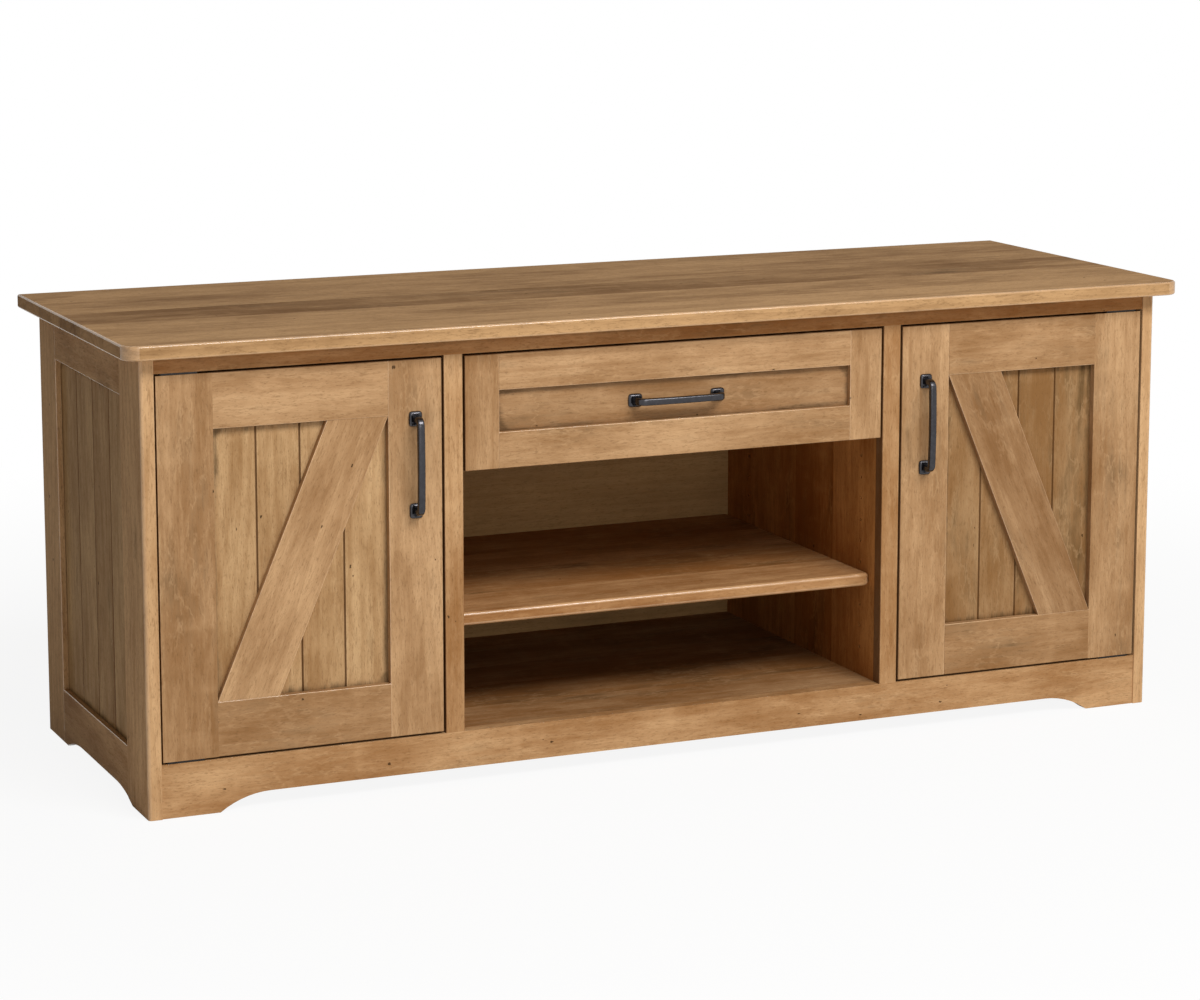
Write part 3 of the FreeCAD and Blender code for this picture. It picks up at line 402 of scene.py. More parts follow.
def inside_neighbour(point, node):
    """Whether a point lies in another board of the same body. A brace's box is mostly air: it isn't asked."""
    for other in timber:
        if other == node or other in slanting or body_of[other] != body_of[node]:
            continue
        low, high = corners[other]
        if np.all(point > low) and np.all(point < high):
            return True
    return False


# %% Find the exposed arrises
PROBE = 1.2 * MM
WELD = 0.002 * MM
FLAT = math.radians(0.4)
GENTLE = math.radians(40)


def exposed_arrises(made, node, shortest):
    """Edges of a board that are long enough, sharp enough and not covered by a flush neighbour."""
    chosen = []
    for edge in made.edges:
        if len(edge.link_faces) != 2 or not edge.is_convex or edge.calc_length() < shortest:
            continue
        one, two = (face.normal for face in edge.link_faces)
        if one.angle(two, 0) < GENTLE:
            continue
        middle = (edge.verts[0].co + edge.verts[1].co) / 2
        probes = (middle + two * PROBE - one * PROBE, middle + one * PROBE - two * PROBE)
        if not any(inside_neighbour(np.array(p), node) for p in probes):
            chosen.append(edge)
    return chosen


def merged_copy(node):
    """The board as one closed mesh with whole faces."""
    made = bmesh.new()
    made.from_mesh(frame["nodes"][node].data)
    bmesh.ops.remove_doubles(made, verts=made.verts, dist=WELD)
    bmesh.ops.dissolve_limit(made, angle_limit=FLAT, verts=made.verts, edges=made.edges,
                             use_dissolve_boundaries=False)
    return made


print(len(timber), "wooden boards")

# %% [markdown]
# ## Grain directions and glued-up widths
# Grain runs along a board's longest side, except on a brace, where it follows the slant. Wide pieces are
# glued up from several boards, so their mesh is split along the glue lines and every strip gets its own
# tone and its own place in the pattern. Both are stored on face corners, so that nothing blends across
# a glue line. A grooved panel's boards meet at its grooves, which are found by their slope and marked for
# the glaze.

# %% Directions of a board
def directions(node, mesh):
    """Unit vectors along the grain, across it and through the board."""
    low, high = corners[node]
    order = np.argsort(high - low)
    along, across, through = (np.eye(3)[i] for i in (order[2], order[1], order[0]))
    if node in slanting:
        points = np.array([v.co for v in mesh.verts])
        foot = points[points[:, 2] < low[2] + MM].mean(0)
        head = points[points[:, 2] > high[2] - MM].mean(0)
        along = head - foot
        along[1] = 0
        along /= np.linalg.norm(along)
        across = np.cross(through, along)
    return along, across, through


# %% Glue lines and tones
# Glue lines lie at these shares of a piece's width, or of the width in sight on a grooved panel. A strip's
# tone runs from about -1, dark, to 1, pale. The first key that a node's name ends with is the one that
# counts.
GLUED = {
    "top_panel": (0.18, 0.39, 0.58, 0.78),
    "center_shelf": (0.22, 0.5, 0.74),
    "bottom_panel": (0.2, 0.42, 0.63, 0.82),
    "divider_panel": (0.27, 0.52, 0.8),
    "door_panel": (0.25, 0.5, 0.75),
    "end_panel": (0.25, 0.5, 0.75),
}
TONES = {
    "top_panel": (0.45, 0.32, -0.4, 0.1, 0.3),
    "center_shelf": (-0.3, -0.7, -0.4, -0.7),
    "bottom_panel": (-0.6, -0.75, -0.6, -0.7, -0.65),
    "divider_panel": (-0.35, -0.6, -0.3, -0.5),
    "right_door_top_rail": (-0.25,),
    "door_top_rail": (0.06,),
    "door_bottom_rail": (-0.4,),
    "right_door_brace": (-0.3,),
    "door_brace": (-0.15,),
    "right_door_pull_stile": (-0.05,),
    "door_pull_stile": (-0.08,),
    "left_door_hinge_stile": (-0.25,),
    "right_door_hinge_stile": (-0.3,),
    "drawer_front_top_rail": (-0.1,),
    "drawer_front_bottom_rail": (-0.25,),
    "drawer_front_left_stile": (-0.4,),
    "drawer_front_right_stile": (-0.2,),
    "drawer_front_panel": (-0.35,),
    "right_door_panel": (-0.6, -0.4, -0.8, -0.6),
    "end_front_stile": (0.4,),
    "end_rear_stile": (0.35,),
    "end_panel": (0.1, -0.15, 0.05, -0.1),
    "face_base_rail": (-0.1,),
    # painted shade: the face top rail is darker for the shadow of the top's overhang
    "face_top_rail": (-0.5,),
    "divider_stile": (-0.12,),
}


def looked_up(table, node, otherwise):
    """The value of the first key that the node's name ends with."""
    return next((value for key, value in table.items() if node.endswith(key)), otherwise)


def is_grooved(node):
    return node.endswith(("door_panel", "end_panel"))


def window_edges(panel):
    """The four edges of the part of a panel that its frame leaves in sight, as (axis, place) pairs."""
    family = panel[:-len("panel")]
    sideways = 1 if "end" in panel else 0
    edges = []
    for kind, axis in (("stile", sideways), ("rail", 2)):
        members = [corners[node] for node in timber if node.startswith(family) and node.endswith(kind)]
        first, last = sorted(members, key=lambda box: box[0][axis])
        edges += [(axis, first[1][axis]), (axis, last[0][axis])]
    return edges


def glue_places(node, across):
    """Places of the glue lines, measured along the across direction."""
    if is_grooved(node):
        start, end = (place for axis, place in window_edges(node)[:2])
    else:
        start, end = sorted(float(corner @ across) for corner in corners[node])
    return [start + (end - start) * share for share in looked_up(GLUED, node, ())]


# %% Dirt and painted shade at the edges of recessed panels, and painted shade under the top's overhang
DIRT_AND_SHADE_BAND = 16 * MM


def sight_edges(node):
    """Edges where dirt and painted shade gather, as (axis, place) pairs; under the overhang, only painted
    shade.
    """
    # the face top rail: painted shade along its upper edge, under the top's overhang
    if node == "face_top_rail":
        return [(2, corners[node][1][2])]
    if is_grooved(node) or node.endswith("front_panel"):
        return window_edges(node)
    return []


def edge_dirt_and_shade_at(places, edges):
    """1 at the sight edges, falling to 0 a little way in."""
    if not edges:
        return np.zeros(len(places))
    nearest = np.min([np.abs(places[:, axis] - place) for axis, place in edges], axis=0)
    return np.clip(1 - nearest / DIRT_AND_SHADE_BAND, 0, 1)


# %% Write the grain on a mesh
SHIFTS = ((0, 40), (-0.06, 0.06), (-0.03, 0.05))   # how far a strip may shift along, across and through
TONE_WANDER = 0.07


def lay_grain(mesh, node, ways, glue, rng):
    """Point attribute: the dirt and painted shade. Corner attributes: the place in the board, and its tone.
    """
    places = np.empty(len(mesh.vertices) * 3)
    mesh.vertices.foreach_get("co", places)
    places = places.reshape(-1, 3)
    edge_dirt_and_shade = mesh.attributes.new("edge_dirt_and_shade", "FLOAT", "POINT")
    edge_dirt_and_shade.data.foreach_set("value", edge_dirt_and_shade_at(places, sight_edges(node)))
    tones = looked_up(TONES, node, (0.0,))
    strips = range(len(glue) + 1)
    shifts = [[rng.uniform(*span) for span in SHIFTS] for _ in strips]
    wander = [rng.uniform(-TONE_WANDER, TONE_WANDER) for _ in strips]
    low, high = corners[node]
    middle = (low + high) / 2
    edges = [float(low @ ways[1]), *glue, float(high @ ways[1])]
    board_at = np.empty((len(mesh.loops), 3))
    tone = np.empty(len(mesh.loops))
    for face in mesh.polygons:
        strip = int(np.searchsorted(glue, float(np.array(face.center) @ ways[1])))
        centre = (edges[strip] + edges[strip + 1]) / 2
        for loop in face.loop_indices:
            p = places[mesh.loops[loop].vertex_index]
            board_at[loop] = (p @ ways[0], p @ ways[1] - centre, (p - middle) @ ways[2])
            board_at[loop] += shifts[strip]
            tone[loop] = tones[strip % len(tones)] + wander[strip]
    mesh.attributes.new("board_at", "FLOAT_VECTOR", "CORNER").data.foreach_set("vector", board_at.ravel())
    mesh.attributes.new("tone", "FLOAT", "CORNER").data.foreach_set("value", tone)


# %% Faces that look into a gap, which get painted shade
def front_edges(node):
    """Sides of a door or drawer front, as (axis, place); these faces look into the gap round it and get
    painted shade.
    """
    for prefix in ("left_door_", "right_door_", "drawer_front_"):
        if node.startswith(prefix):
            frame_boxes = [corners[other] for other in timber if other.startswith(prefix)]
            low = np.min([box[0] for box in frame_boxes], axis=0)
            high = np.max([box[1] for box in frame_boxes], axis=0)
            return [(axis, end[axis]) for axis in (0, 2) for end in (low, high)]
    if node.endswith("divider_stile"):
        return [(0, end[0]) for end in corners[node]]
    return []


# %% Keep flats flat
SAME_BEND = math.cos(math.radians(50))   # faces nearer in direction than this share their shading


def steady_normals(mesh):
    """Corner normals weighed by face area, so that a narrow bevel never tilts the shading of a wide flat."""
    around = [[] for _ in mesh.vertices]
    for face in mesh.polygons:
        for vertex in face.vertices:
            around[vertex].append((face.normal.copy(), face.area))
    normals = []
    for face in mesh.polygons:
        for vertex in face.vertices:
            near = (normal * area for normal, area in around[vertex] if normal.dot(face.normal) > SAME_BEND)
            normals.append(sum(near, Vector()).normalized())
    mesh.shade_smooth()
    mesh.normals_split_custom_set(normals)


# %% Wear and stain of each board
# Bevel widths in mm, then shares from 0 to 1: how much wear and painted highlight a packed rounding gets,
# thin glaze over a whole board, and the redder painted shade tint of boards that lie in shade.
EASE = {"top_panel": 0.0, "door_panel": 0.0, "end_panel": 0.0, "back_panel": 0.3, "drawer_bottom_panel": 0.3}
DEFAULT_EASE = 0.9
SHORTEST = 6   # an eased edge is at least so many bevels long
ROUNDED_WEAR_AND_HIGHLIGHT = {"top_panel": 0.8, "center_shelf": 0.8, "end_front_stile": 0.5}
# on the face top rail this glaze, like its dark tone and shade tint, is painted shade under the top's
# overhang
BOARD_GLAZE_AND_SHADE = {"face_top_rail": 0.08, "divider_panel": 0.1, "bottom_panel": 0.25, "center_shelf": 0.1,
          "right_door_brace": 0.18, "right_door_panel": 0.18, "drawer_front_panel": 0.12}
# painted shade: darker, redder boards in the open bay and under the overhang
SHADE_TINTED = {"divider_panel": 0.9, "center_shelf": 0.25, "face_top_rail": 0.4}
# painted shade on the faces that look into the gaps round doors, drawer and divider stiles, and on their
# bevels
GAP_PAINTED_SHADE = 0.7
GAP_ARRIS_PAINTED_SHADE = 0.5
GROOVE_GLAZE = 0.64
NEAR_EDGE = 0.8 * MM   # the middle of a face that looks into a gap lies this near to its side
LOOKS_IN = 0.3         # and its normal points at least so much into it
SQUARE = 0.95          # a normal's greatest share on a face that isn't bevelled or in a groove
TRULY_SQUARE = 0.98


# %% Shape one board
def cut(made, direction, place):
    """Split the faces that cross a plane, which stands square to a direction at a place along it."""
    geometry = made.verts[:] + made.edges[:] + made.faces[:]
    bmesh.ops.bisect_plane(
        made, geom=geometry, plane_co=Vector(direction * place), plane_no=Vector(direction))


def shape_board(made, node, ways, glue, arris_layer):
    """Ease the arrises, then cut along the glue lines and round the strips that gather dirt and painted
    shade.
    """
    ease = looked_up(EASE, node, DEFAULT_EASE) * MM
    if ease:
        found = exposed_arrises(made, node, SHORTEST * ease)
        eased = bmesh.ops.bevel(made, geom=found, offset=ease, offset_type="OFFSET", segments=2, profile=0.5,
                                affect="EDGES", clamp_overlap=True)
        for face in eased["faces"]:
            face[arris_layer] = 1.0
    if glue and not is_grooved(node):
        bmesh.ops.triangulate(made, faces=made.faces[:])
        for place in glue:
            cut(made, ways[1], place)
    edges = sight_edges(node)
    if edges:
        bmesh.ops.triangulate(made, faces=made.faces[:])
    for axis, place in edges:
        inward = 1 if place < (sum(corners[node]) / 2)[axis] else -1
        for inset in (0.0, DIRT_AND_SHADE_BAND):
            cut(made, np.eye(3)[axis], place + inward * inset)


# %% Mark what the finish needs on the faces of one board
def mark_faces(made, node, arris_layer, glaze_and_shade_layer, shade_tint_layer):
    """Painted shade in gaps, glaze in grooves and over a few whole boards, wear and a painted highlight on
    packed roundings, and a redder painted shade tint.
    """
    gaps = front_edges(node)
    for face in made.faces:
        face[shade_tint_layer] = looked_up(SHADE_TINTED, node, 0.0)
        squareness = max(abs(c) for c in face.normal)
        middle = face.calc_center_median()
        in_gap = (abs(middle[axis] - place) < NEAR_EDGE and abs(face.normal[axis]) > LOOKS_IN
                  for axis, place in gaps)
        # painted shade on a face that looks into a gap
        if any(in_gap):
            face[glaze_and_shade_layer] = GAP_PAINTED_SHADE if squareness > SQUARE else GAP_ARRIS_PAINTED_SHADE
            face[arris_layer] = 0.0
        if is_grooved(node) and squareness < SQUARE:
            face[glaze_and_shade_layer] = GROOVE_GLAZE
        if not face[glaze_and_shade_layer]:
            face[glaze_and_shade_layer] = looked_up(BOARD_GLAZE_AND_SHADE, node, 0.0)
            # packed roundings get wear and a painted highlight
            if squareness < TRULY_SQUARE:
                face[arris_layer] = max(face[arris_layer], looked_up(ROUNDED_WEAR_AND_HIGHLIGHT, node, 0.0))


# %% Make every wooden board
def make_board(node):
    """Finished copy of a packed board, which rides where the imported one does."""
    made = merged_copy(node)
    ways = directions(node, made)
    glue = glue_places(node, ways[1])
    layers = [made.faces.layers.float.new(name) for name in ("arris", "glaze_and_shade", "shade_tint")]
    shape_board(made, node, ways, glue, layers[0])
    mark_faces(made, node, *layers)
    mesh = bpy.data.meshes.new(node + "_board")
    made.to_mesh(mesh)
    made.free()
    steady_normals(mesh)
    lay_grain(mesh, node, ways, glue, random.Random(node))
    board = bpy.data.objects.new(node + "_board", mesh)
    bpy.context.scene.collection.objects.link(board)
    mesh.materials.append(finishes[slot_of[node]])
    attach(board, body_of[node])
    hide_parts(node)
    return board


boards = {node: make_board(node) for node in timber}
print(len(boards), "boards,", sum(len(b.data.polygons) for b in boards.values()), "faces")

# %% [markdown]
# ## Recipes for hardware
# The three pulls are one casting, and the screws are one screw many times over, so each is a Geometry
# Nodes tree whose inputs are its sizes. The tree is evaluated once for each piece and kept as a plain
# mesh, so nothing stays live.

# %% A recipe is the page of one Geometry Nodes tree
class Recipe(Page):
    def __init__(self, name, inputs):
        super().__init__(bpy.data.node_groups.new(name, "GeometryNodeTree"))
        face = self.tree.interface
        face.new_socket("Geometry", in_out="INPUT", socket_type="NodeSocketGeometry")
        for key, kind in inputs.items():
            face.new_socket(key, in_out="INPUT", socket_type="NodeSocket" + kind)
        face.new_socket("Geometry", in_out="OUTPUT", socket_type="NodeSocketGeometry")
        self.start = self.tree.nodes.new("NodeGroupInput")
        self.end = self.tree.nodes.new("NodeGroupOutput")

    def given(self, name):
        """The value that a recipe is run with, by its name."""
        return Wire(self, self.start.outputs[name])

    def serve(self, geometry):
        """Realize, set the finish and end the tree."""
        real = self.node("GeometryNodeRealizeInstances", {}, {0: geometry})
        done = self.node("GeometryNodeSetMaterial", {}, {"Geometry": real, "Material": self.given("Finish")})
        self.tree.links.new(done.socket, self.end.inputs[0])


CREASE = math.radians(38)   # faces that meet more sharply than this are shaded apart


def cook(recipe, name, values, seed=None):
    """Run a recipe on a seed mesh and keep the result as a plain mesh object."""
    raw = bpy.data.objects.new(name + "_raw", seed or bpy.data.meshes.new(name + "_raw"))
    bpy.context.scene.collection.objects.link(raw)
    step = raw.modifiers.new("recipe", "NODES")
    step.node_group = recipe.tree
    for item in recipe.tree.interface.items_tree:
        if item.in_out == "INPUT" and item.name in values:
            step[item.identifier] = values[item.name]
    graph = bpy.context.evaluated_depsgraph_get()
    mesh = bpy.data.meshes.new_from_object(raw.evaluated_get(graph))
    raw.modifiers.clear()
    bpy.data.objects.remove(raw)
    mesh.name = name
    mesh.shade_smooth()
    mesh.set_sharp_from_angle(angle=CREASE)
    made = bpy.data.objects.new(name, mesh)
    bpy.context.scene.collection.objects.link(made)
    return made


# %% [markdown]
# ## Pulls
# A bow pull of blackened metal: a bar with softened corners leaves one backplate, turns through an
# elbow, bows out slightly and comes back to the other. The backplates are rounded squares with a raised
# rim. The bar is a profile swept along a line whose corners are filleted; a backplate is a disc whose
# rings are pushed out to a superellipse and lifted to the shape of the rim.

# %% Bar of a pull
LINE_POINTS = 15   # of them one at each foot, one at each elbow, and the rest along the bow
ELBOW_STEPS = 10
CORNER_STEPS = 5


def bar_of(page):
    """Bar along Z, standing off along -Y."""
    rail = page.node("GeometryNodeMeshLine", {}, {"Count": LINE_POINTS})
    line = page.node("GeometryNodeMeshToCurve", {}, {0: rail})
    index = page.node("GeometryNodeInputIndex")
    share = page.node("ShaderNodeClamp", {}, {"Value": (index - 1.0) / (LINE_POINTS - 3.0)}) * 2.0 - 1.0
    off_feet = page.math("GREATER_THAN", index, 0.5) * page.math("LESS_THAN", index, LINE_POINTS - 1.5)
    reach = (page.given("Reach") + page.given("Bow") * (1.0 - share * share)) * off_feet
    place = page.join(0.0, reach * -1.0, page.given("Centres") * 0.5 * share)
    line = page.node("GeometryNodeSetPosition", {}, {"Geometry": line, "Position": place})
    elbow = page.math("COMPARE", abs(index - (LINE_POINTS - 1) / 2), (LINE_POINTS - 3) / 2, 0.25)
    line = page.node("GeometryNodeFilletCurve", {"mode": "POLY"}, {
        "Curve": line, "Count": elbow * (ELBOW_STEPS - 1) + 1.0,
        "Radius": elbow * page.given("Elbow"), "Limit Radius": True})
    outline = page.node("GeometryNodeCurvePrimitiveQuadrilateral", {}, {
        "Width": page.given("Bar Width"), "Height": page.given("Bar Depth")})
    outline = page.node("GeometryNodeFilletCurve", {"mode": "POLY"}, {
        "Curve": outline, "Count": CORNER_STEPS, "Radius": page.given("Bar Corner"), "Limit Radius": True})
    return page.node("GeometryNodeCurveToMesh", {}, {
        "Curve": line, "Profile Curve": outline, "Fill Caps": True})


# %% Backplates of a pull
SQUARENESS = 5.0   # 2 would be a circle, and more comes nearer to a square


def plates_of(page):
    """Two backplates in the XZ plane, standing off along -Y."""
    disc = page.node("GeometryNodeMeshCylinder", {}, {
        "Vertices": 48, "Side Segments": 1, "Fill Segments": 8, "Radius": 1.0, "Depth": 1.0})
    x, y, z = page.split(page.node("GeometryNodeInputPosition"))
    out = (x * x + y * y) ** 0.5
    away = page.math("MAXIMUM", out, 0.001)
    square = ((abs(x) / away) ** SQUARENESS + (abs(y) / away) ** SQUARENESS) ** (-1 / SQUARENESS)
    # the outer edge rolls off, and inside the rim the plate lies a little lower
    rim = 1.0 - page.ease(out, 0.8, 1.02) * 0.5 - page.ease(out, 0.72, 0.5) * 0.2
    lift = page.given("Plate Thickness") * rim * page.math("GREATER_THAN", z, 0.0)
    place = page.join(x * square * page.given("Plate Width") * 0.5, lift * -1.0,
                      y * square * page.given("Plate Height") * 0.5)
    plate = page.node("GeometryNodeSetPosition", {}, {"Geometry": disc, "Position": place})
    two = page.node("GeometryNodeMeshLine", {}, {
        "Count": 2, "Start Location": page.join(0.0, 0.0, page.given("Centres") * -0.5),
        "Offset": page.join(0.0, 0.0, page.given("Centres"))})
    return page.node("GeometryNodeInstanceOnPoints", {}, {"Points": two, "Instance": plate})


# %% Pull recipe
pull = Recipe("bow_pull", {
    "Centres": "Float", "Reach": "Float", "Bow": "Float", "Elbow": "Float", "Bar Width": "Float",
    "Bar Depth": "Float", "Bar Corner": "Float", "Plate Width": "Float", "Plate Height": "Float",
    "Plate Thickness": "Float", "Turn": "Float", "At": "Vector", "Finish": "Material"})
both = pull.node("GeometryNodeJoinGeometry")
for part in (bar_of(pull), plates_of(pull)):
    pull.tree.links.new(part.socket, both.socket.node.inputs[0])
turned = pull.node("GeometryNodeTransform", {}, {
    "Geometry": both, "Translation": pull.given("At"), "Rotation": pull.join(0.0, pull.given("Turn"), 0.0)})
pull.serve(turned)
print("pull recipe has", len(pull.tree.nodes), "nodes")

# %% Three pulls
PULL = {"Centres": 128 * MM, "Reach": 21 * MM, "Bow": 2 * MM, "Elbow": 8 * MM, "Bar Width": 10 * MM,
        "Bar Depth": 9 * MM, "Bar Corner": 2.6 * MM, "Plate Width": 19 * MM, "Plate Height": 21 * MM,
        "Plate Thickness": 4.5 * MM}
for node in ("left_door_pull", "right_door_pull", "drawer_pull_handle"):
    low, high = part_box(node)
    middle = (low + high) / 2
    handle = cook(pull, node + "_casting", {
        **PULL, "At": (middle.x, high.y, middle.z), "Turn": math.pi / 2 if node.startswith("drawer") else 0.0,
        "Finish": finishes[slot_of[node]]})
    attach(handle, body_of[node])
    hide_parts(node)
    size = Vector(handle.dimensions)
    print(node, [round(c / MM, 1) for c in size], "mm, packed", [round(c / MM, 1) for c in high - low])

# %% [markdown]
# ## Screws
# Pan-head screws hold the back panel all round, ones with a lower head hold the slides, and countersunk
# ones, almost flush, hold the hinge leaves. One head is made from rings of vertices, with the drive
# pressed into its middle, and set on every point with its axis along the point's `facing`.

# %% Screw heads
DOME = 0.55    # how far a head falls to its rim, as a share of its height
DRIVE = 0.7    # how deep the drive is, as a share of its height


def heads_on(page, points, facing):
    """A screw head on each point. The drive is four hollows between four walls, round the centre."""
    disc = page.node("GeometryNodeMeshCylinder", {}, {
        "Vertices": 16, "Side Segments": 1, "Fill Segments": 4, "Radius": 1.0, "Depth": 1.0})
    x, y, z = page.split(page.node("GeometryNodeInputPosition"))
    out = (x * x + y * y) ** 0.5
    spoke = page.math("ABSOLUTE", page.math("COSINE", page.math("ARCTAN2", y, x) * 2.0))
    drive = page.ease(out, 0.6, 0.45) * page.ease(spoke, 0.5, 0.9)
    top = 1.0 - out * out * DOME - drive * DRIVE
    lift = page.given("Head Height") * top * page.math("GREATER_THAN", z, 0.0)
    radius = page.given("Head Radius")
    head = page.node("GeometryNodeSetPosition", {}, {
        "Geometry": disc, "Position": page.join(x * radius, y * radius, lift)})
    turn = page.node("FunctionNodeAlignRotationToVector", {"axis": "Z"}, {"Vector": facing})
    return page.node("GeometryNodeInstanceOnPoints", {}, {
        "Points": points, "Instance": head, "Rotation": turn})


# %% Screw recipes
outline_screws = Recipe("screws_round_a_panel", {
    "Width": "Float", "Height": "Float", "Spacing": "Float", "Head Radius": "Float", "Head Height": "Float",
    "At": "Vector", "Finish": "Material"})
loop = outline_screws.node("GeometryNodeCurvePrimitiveQuadrilateral", {}, {
    "Width": outline_screws.given("Width"), "Height": outline_screws.given("Height")})
dots = outline_screws.node("GeometryNodeCurveToPoints", {"mode": "LENGTH"}, {
    "Curve": loop, "Length": outline_screws.given("Spacing")})
flat = heads_on(outline_screws, dots, (0.0, 0.0, 1.0))
stood = outline_screws.node("GeometryNodeTransform", {}, {
    "Geometry": flat, "Translation": outline_screws.given("At"), "Rotation": (-math.pi / 2, 0.0, 0.0)})
outline_screws.serve(stood)

placed_screws = Recipe("screws_on_points", {
    "Head Radius": "Float", "Head Height": "Float", "Finish": "Material"})
facing = placed_screws.node(
    "GeometryNodeInputNamedAttribute", {"data_type": "FLOAT_VECTOR"}, {"Name": "facing"})
placed_screws.serve(heads_on(placed_screws, placed_screws.given("Geometry"), facing))
print("screw recipes ready")

# %% Screws of the back panel
INSET = 11 * MM   # from the panel's edge to the middle of a screw
low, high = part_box("back_panel")
screws = cook(outline_screws, "back_panel_screws", {
    "Width": high.x - low.x - 2 * INSET, "Height": high.z - low.z - 2 * INSET, "Spacing": 150 * MM,
    "Head Radius": 3.4 * MM, "Head Height": 1.6 * MM, "Finish": finishes["zinc_steel"],
    "At": ((low.x + high.x) / 2, high.y, (low.z + high.z) / 2)})
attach(screws, body_of["back_panel"])
print("back panel screws:", len(screws.data.polygons), "faces")


# %% Screws on listed places
def screws_at(name, body, slot, spots, radius, height):
    """Screws on listed places, each with the direction that its head faces."""
    seed = bpy.data.meshes.new(name + "_seed")
    seed.from_pydata([at for at, _ in spots], [], [])
    ways = seed.attributes.new("facing", "FLOAT_VECTOR", "POINT")
    ways.data.foreach_set("vector", [c for _, way in spots for c in way])
    made = cook(placed_screws, name, {
        "Head Radius": radius, "Head Height": height, "Finish": finishes[slot]}, seed)
    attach(made, body)
    return made


def solids_of(node):
    """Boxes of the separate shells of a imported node."""
    made = merged_copy(node)
    boxes, left = [], set(made.verts)
    while left:
        shell, edge = set(), [left.pop()]
        while edge:
            vertex = edge.pop()
            shell.add(vertex)
            for link in vertex.link_edges:
                other = link.other_vert(vertex)
                if other in left:
                    left.discard(other)
                    edge.append(other)
        points = np.array([v.co for v in shell])
        boxes.append((points.min(0), points.max(0)))
    made.free()
    return sorted(boxes, key=lambda box: tuple(box[0]))


# %% Screws on the hinge leaves
ALONG_LEAF = (0.48, 0.82)    # places of the screws, as shares of the length from the pin's end
HALF_HEIGHT = (cad_low[2] + cad_high[2]) / 2

for side, way in (("left", 1), ("right", -1)):
    spots = []
    for low, high in solids_of(side + "_door_hinge_leaves"):
        middle = (low + high) / 2
        up = 1 if middle[2] > HALF_HEIGHT else -1
        face = high[2] if up > 0 else low[2]
        pin_end = low[0] if way > 0 else high[0]
        for share in ALONG_LEAF:
            along = pin_end + way * share * (high[0] - low[0])
            spots.append(((along, middle[1], face), (0, 0, up)))
    screws_at(side + "_door_hinge_screws", side + "_door", "hinge_steel", spots, 2.6 * MM, 0.12 * MM)

# %% Screws on the slides
ALONG_MEMBER = (0.08, 0.35, 0.62, 0.9)   # places of the screws, as shares of the length from the front
MEMBER_SHEET = 1.2 * MM
spots = []
for low, high in solids_of("slide_drawer_members"):
    way = -1 if low[0] < 0 else 1
    face = (high[0] if way < 0 else low[0]) + way * MEMBER_SHEET
    for share in ALONG_MEMBER:
        along = low[1] + share * (high[1] - low[1])
        spots.append(((face, along, (low[2] + high[2]) / 2), (way, 0, 0)))
screws_at("drawer_slide_screws", "drawer", "zinc_steel", spots, 3.2 * MM, 1.1 * MM)
print("screws on hinges and slides made")

# %% [markdown]
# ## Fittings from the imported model
# Slides, hinge leaves, shelf pins, catches, strikes and pull screws have the right shape already. They
# stay as they are and only get their finish.

# %% Finish the fittings
for node, thing in frame["nodes"].items():
    if slot_of[node].endswith("wood") or slot_of[node] == "gunmetal":
        continue
    thing.data.materials.clear()
    thing.data.materials.append(finishes[slot_of[node]])
    thing.data.polygons.foreach_set("material_index", [0] * len(thing.data.polygons))
print("fittings finished")

# %% [markdown]
# ## Floor, light and background
# A plain pale floor and a plain white background. The floor keeps the soft shadow under the stand. One
# large soft lamp stands high to the right of the camera, so that the front is the brightest side, the top
# is a little less bright and the left end lies in the shade, which the white surroundings fill. A weaker
# one stands low in front and lights the back of the open bay.

# %% Background
def looked_at(page):
    """1 for rays from the camera, off gloss or through glass, and 0 for those that carry light."""
    path = page.node("ShaderNodeLightPath").socket.node.outputs
    camera_ray, gloss_ray, glass_ray = (
        Wire(page, path[f"Is {kind} Ray"]) for kind in ("Camera", "Glossy", "Transmission"))
    return page.math("MAXIMUM", page.math("MAXIMUM", camera_ray, gloss_ray), glass_ray)


def make_world(warmth, strength):
    """White where it is looked at, and a weak warm light everywhere else."""
    world = bpy.data.worlds.new("studio")
    bpy.context.scene.world = world
    world.use_nodes = True
    page = Page(world.node_tree)
    page.tree.nodes.clear()
    white = page.node("ShaderNodeBackground", {}, {"Color": (1.0, 1.0, 1.0), "Strength": 1.0})
    fill = page.node("ShaderNodeBackground", {}, {"Color": warmth, "Strength": strength})
    mix = page.node("ShaderNodeMixShader", {}, {0: looked_at(page), 1: fill, 2: white})
    out = page.tree.nodes.new("ShaderNodeOutputWorld")
    page.tree.links.new(mix.socket, out.inputs["Surface"])


make_world(warmth=(1.0, 0.9, 0.74), strength=0.145)
print("world:", bpy.context.scene.world.name)

# %% Floor
FLOOR_DROP = 0.4 * MM   # keeps the floor off the feet's undersides


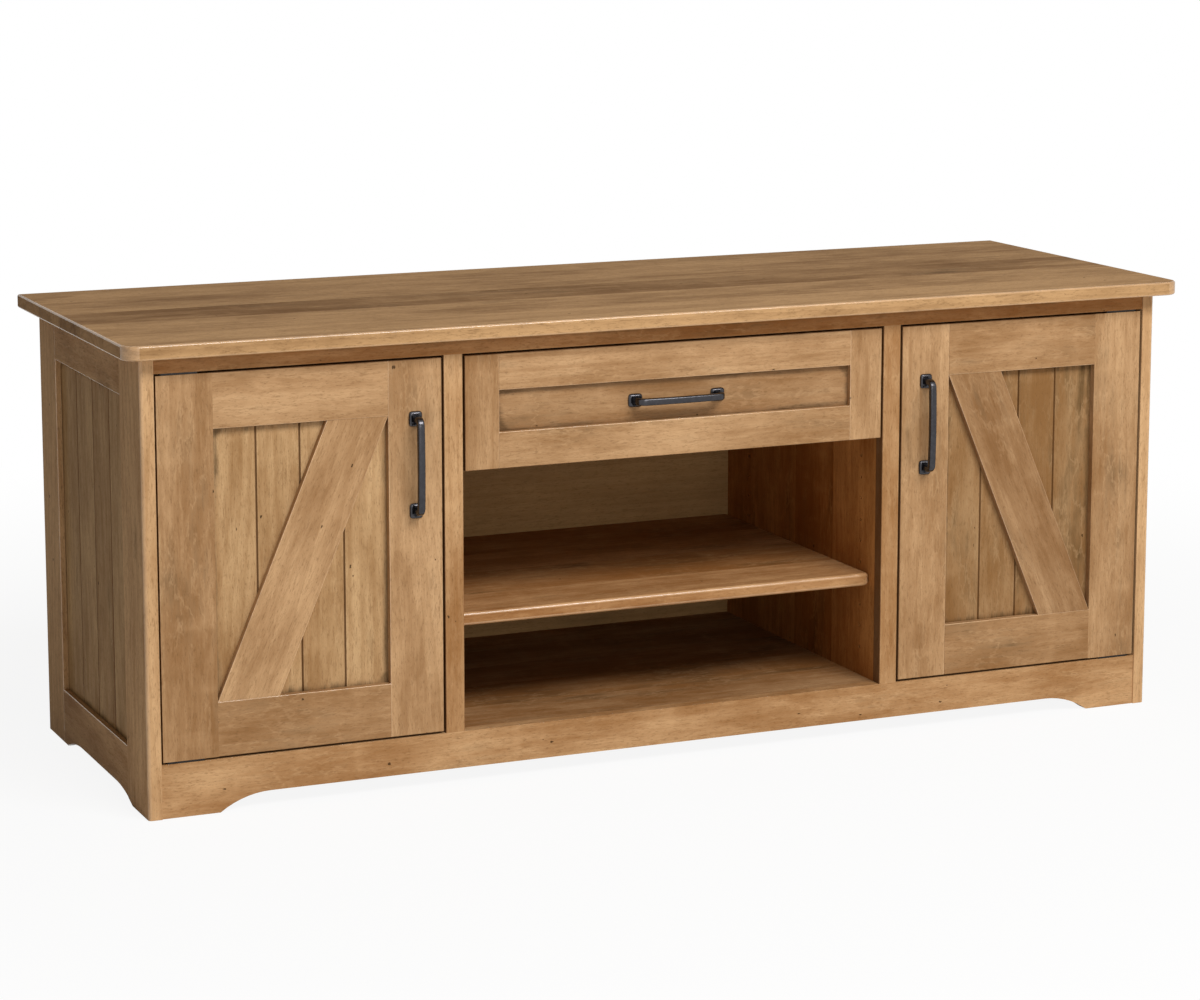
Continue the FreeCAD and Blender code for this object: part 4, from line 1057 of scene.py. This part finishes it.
def make_floor(half, paleness, glow, near, far):
    """Matt floor. Where it is looked at it glows: a share of white by the stand, all white far off."""
    mesh = bpy.data.meshes.new("floor")
    square = [(-half, -half, 0), (half, -half, 0), (half, half, 0), (-half, half, 0)]
    mesh.from_pydata(square, [], [(0, 1, 2, 3)])
    floor = bpy.data.objects.new("floor", mesh)
    bpy.context.scene.collection.objects.link(floor)
    floor.location.z = -FLOOR_DROP
    sheet = Sheet("floor")
    matt = sheet.node("ShaderNodeBsdfDiffuse", {}, {"Color": (paleness,) * 3})
    white = sheet.node("ShaderNodeEmission", {}, {"Color": (1.0, 1.0, 1.0), "Strength": 1.0})
    x, y, _ = sheet.split(sheet.node("ShaderNodeTexCoord", output="Object"))
    shine = looked_at(sheet) * (sheet.ease((x * x + y * y) ** 0.5, near, far) * (1 - glow) + glow)
    mix = sheet.node("ShaderNodeMixShader", {}, {0: shine, 1: matt, 2: white})
    sheet.tree.links.new(mix.socket, sheet.out.inputs["Surface"])
    mesh.materials.append(sheet.material)
    floor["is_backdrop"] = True
    return floor


floor = make_floor(half=40, paleness=0.86, glow=0.9, near=0.9, far=2.4)
print("floor", [round(c) for c in floor.dimensions], "m")

# %% Lamps
AIM = Vector((0, 0, 0.35))


def make_lamp(name, azimuth, elevation, distance, size, power):
    """Soft lamp aimed at the stand; azimuth 0 is straight in front, and right is positive."""
    lamp = bpy.data.objects.new(name, bpy.data.lights.new(name, "AREA"))
    bpy.context.scene.collection.objects.link(lamp)
    round_by, up_by = math.radians(azimuth), math.radians(elevation)
    level = math.cos(up_by)
    away = Vector((math.sin(round_by) * level, -math.cos(round_by) * level, math.sin(up_by)))
    lamp.location = AIM + away * distance
    lamp.rotation_euler = away.to_track_quat("Z", "Y").to_euler()
    lamp.data.shape = "RECTANGLE"
    lamp.data.size, lamp.data.size_y = size
    lamp.data.energy = power
    return lamp


make_lamp("key", azimuth=12, elevation=43, distance=5.0, size=(3.2, 1.6), power=208)
make_lamp("low", azimuth=-6, elevation=8, distance=5.5, size=(3.0, 1.2), power=44)
bpy.context.scene.view_settings.view_transform = "Standard"
print(len(bpy.data.lights), "lamps")

# %% [markdown]
# ## Closing
# The box of the dressed stand is printed.

# %% Size of the dressed stand
low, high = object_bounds()
print("stand", [round(c, 3) for c in high - low], "m")
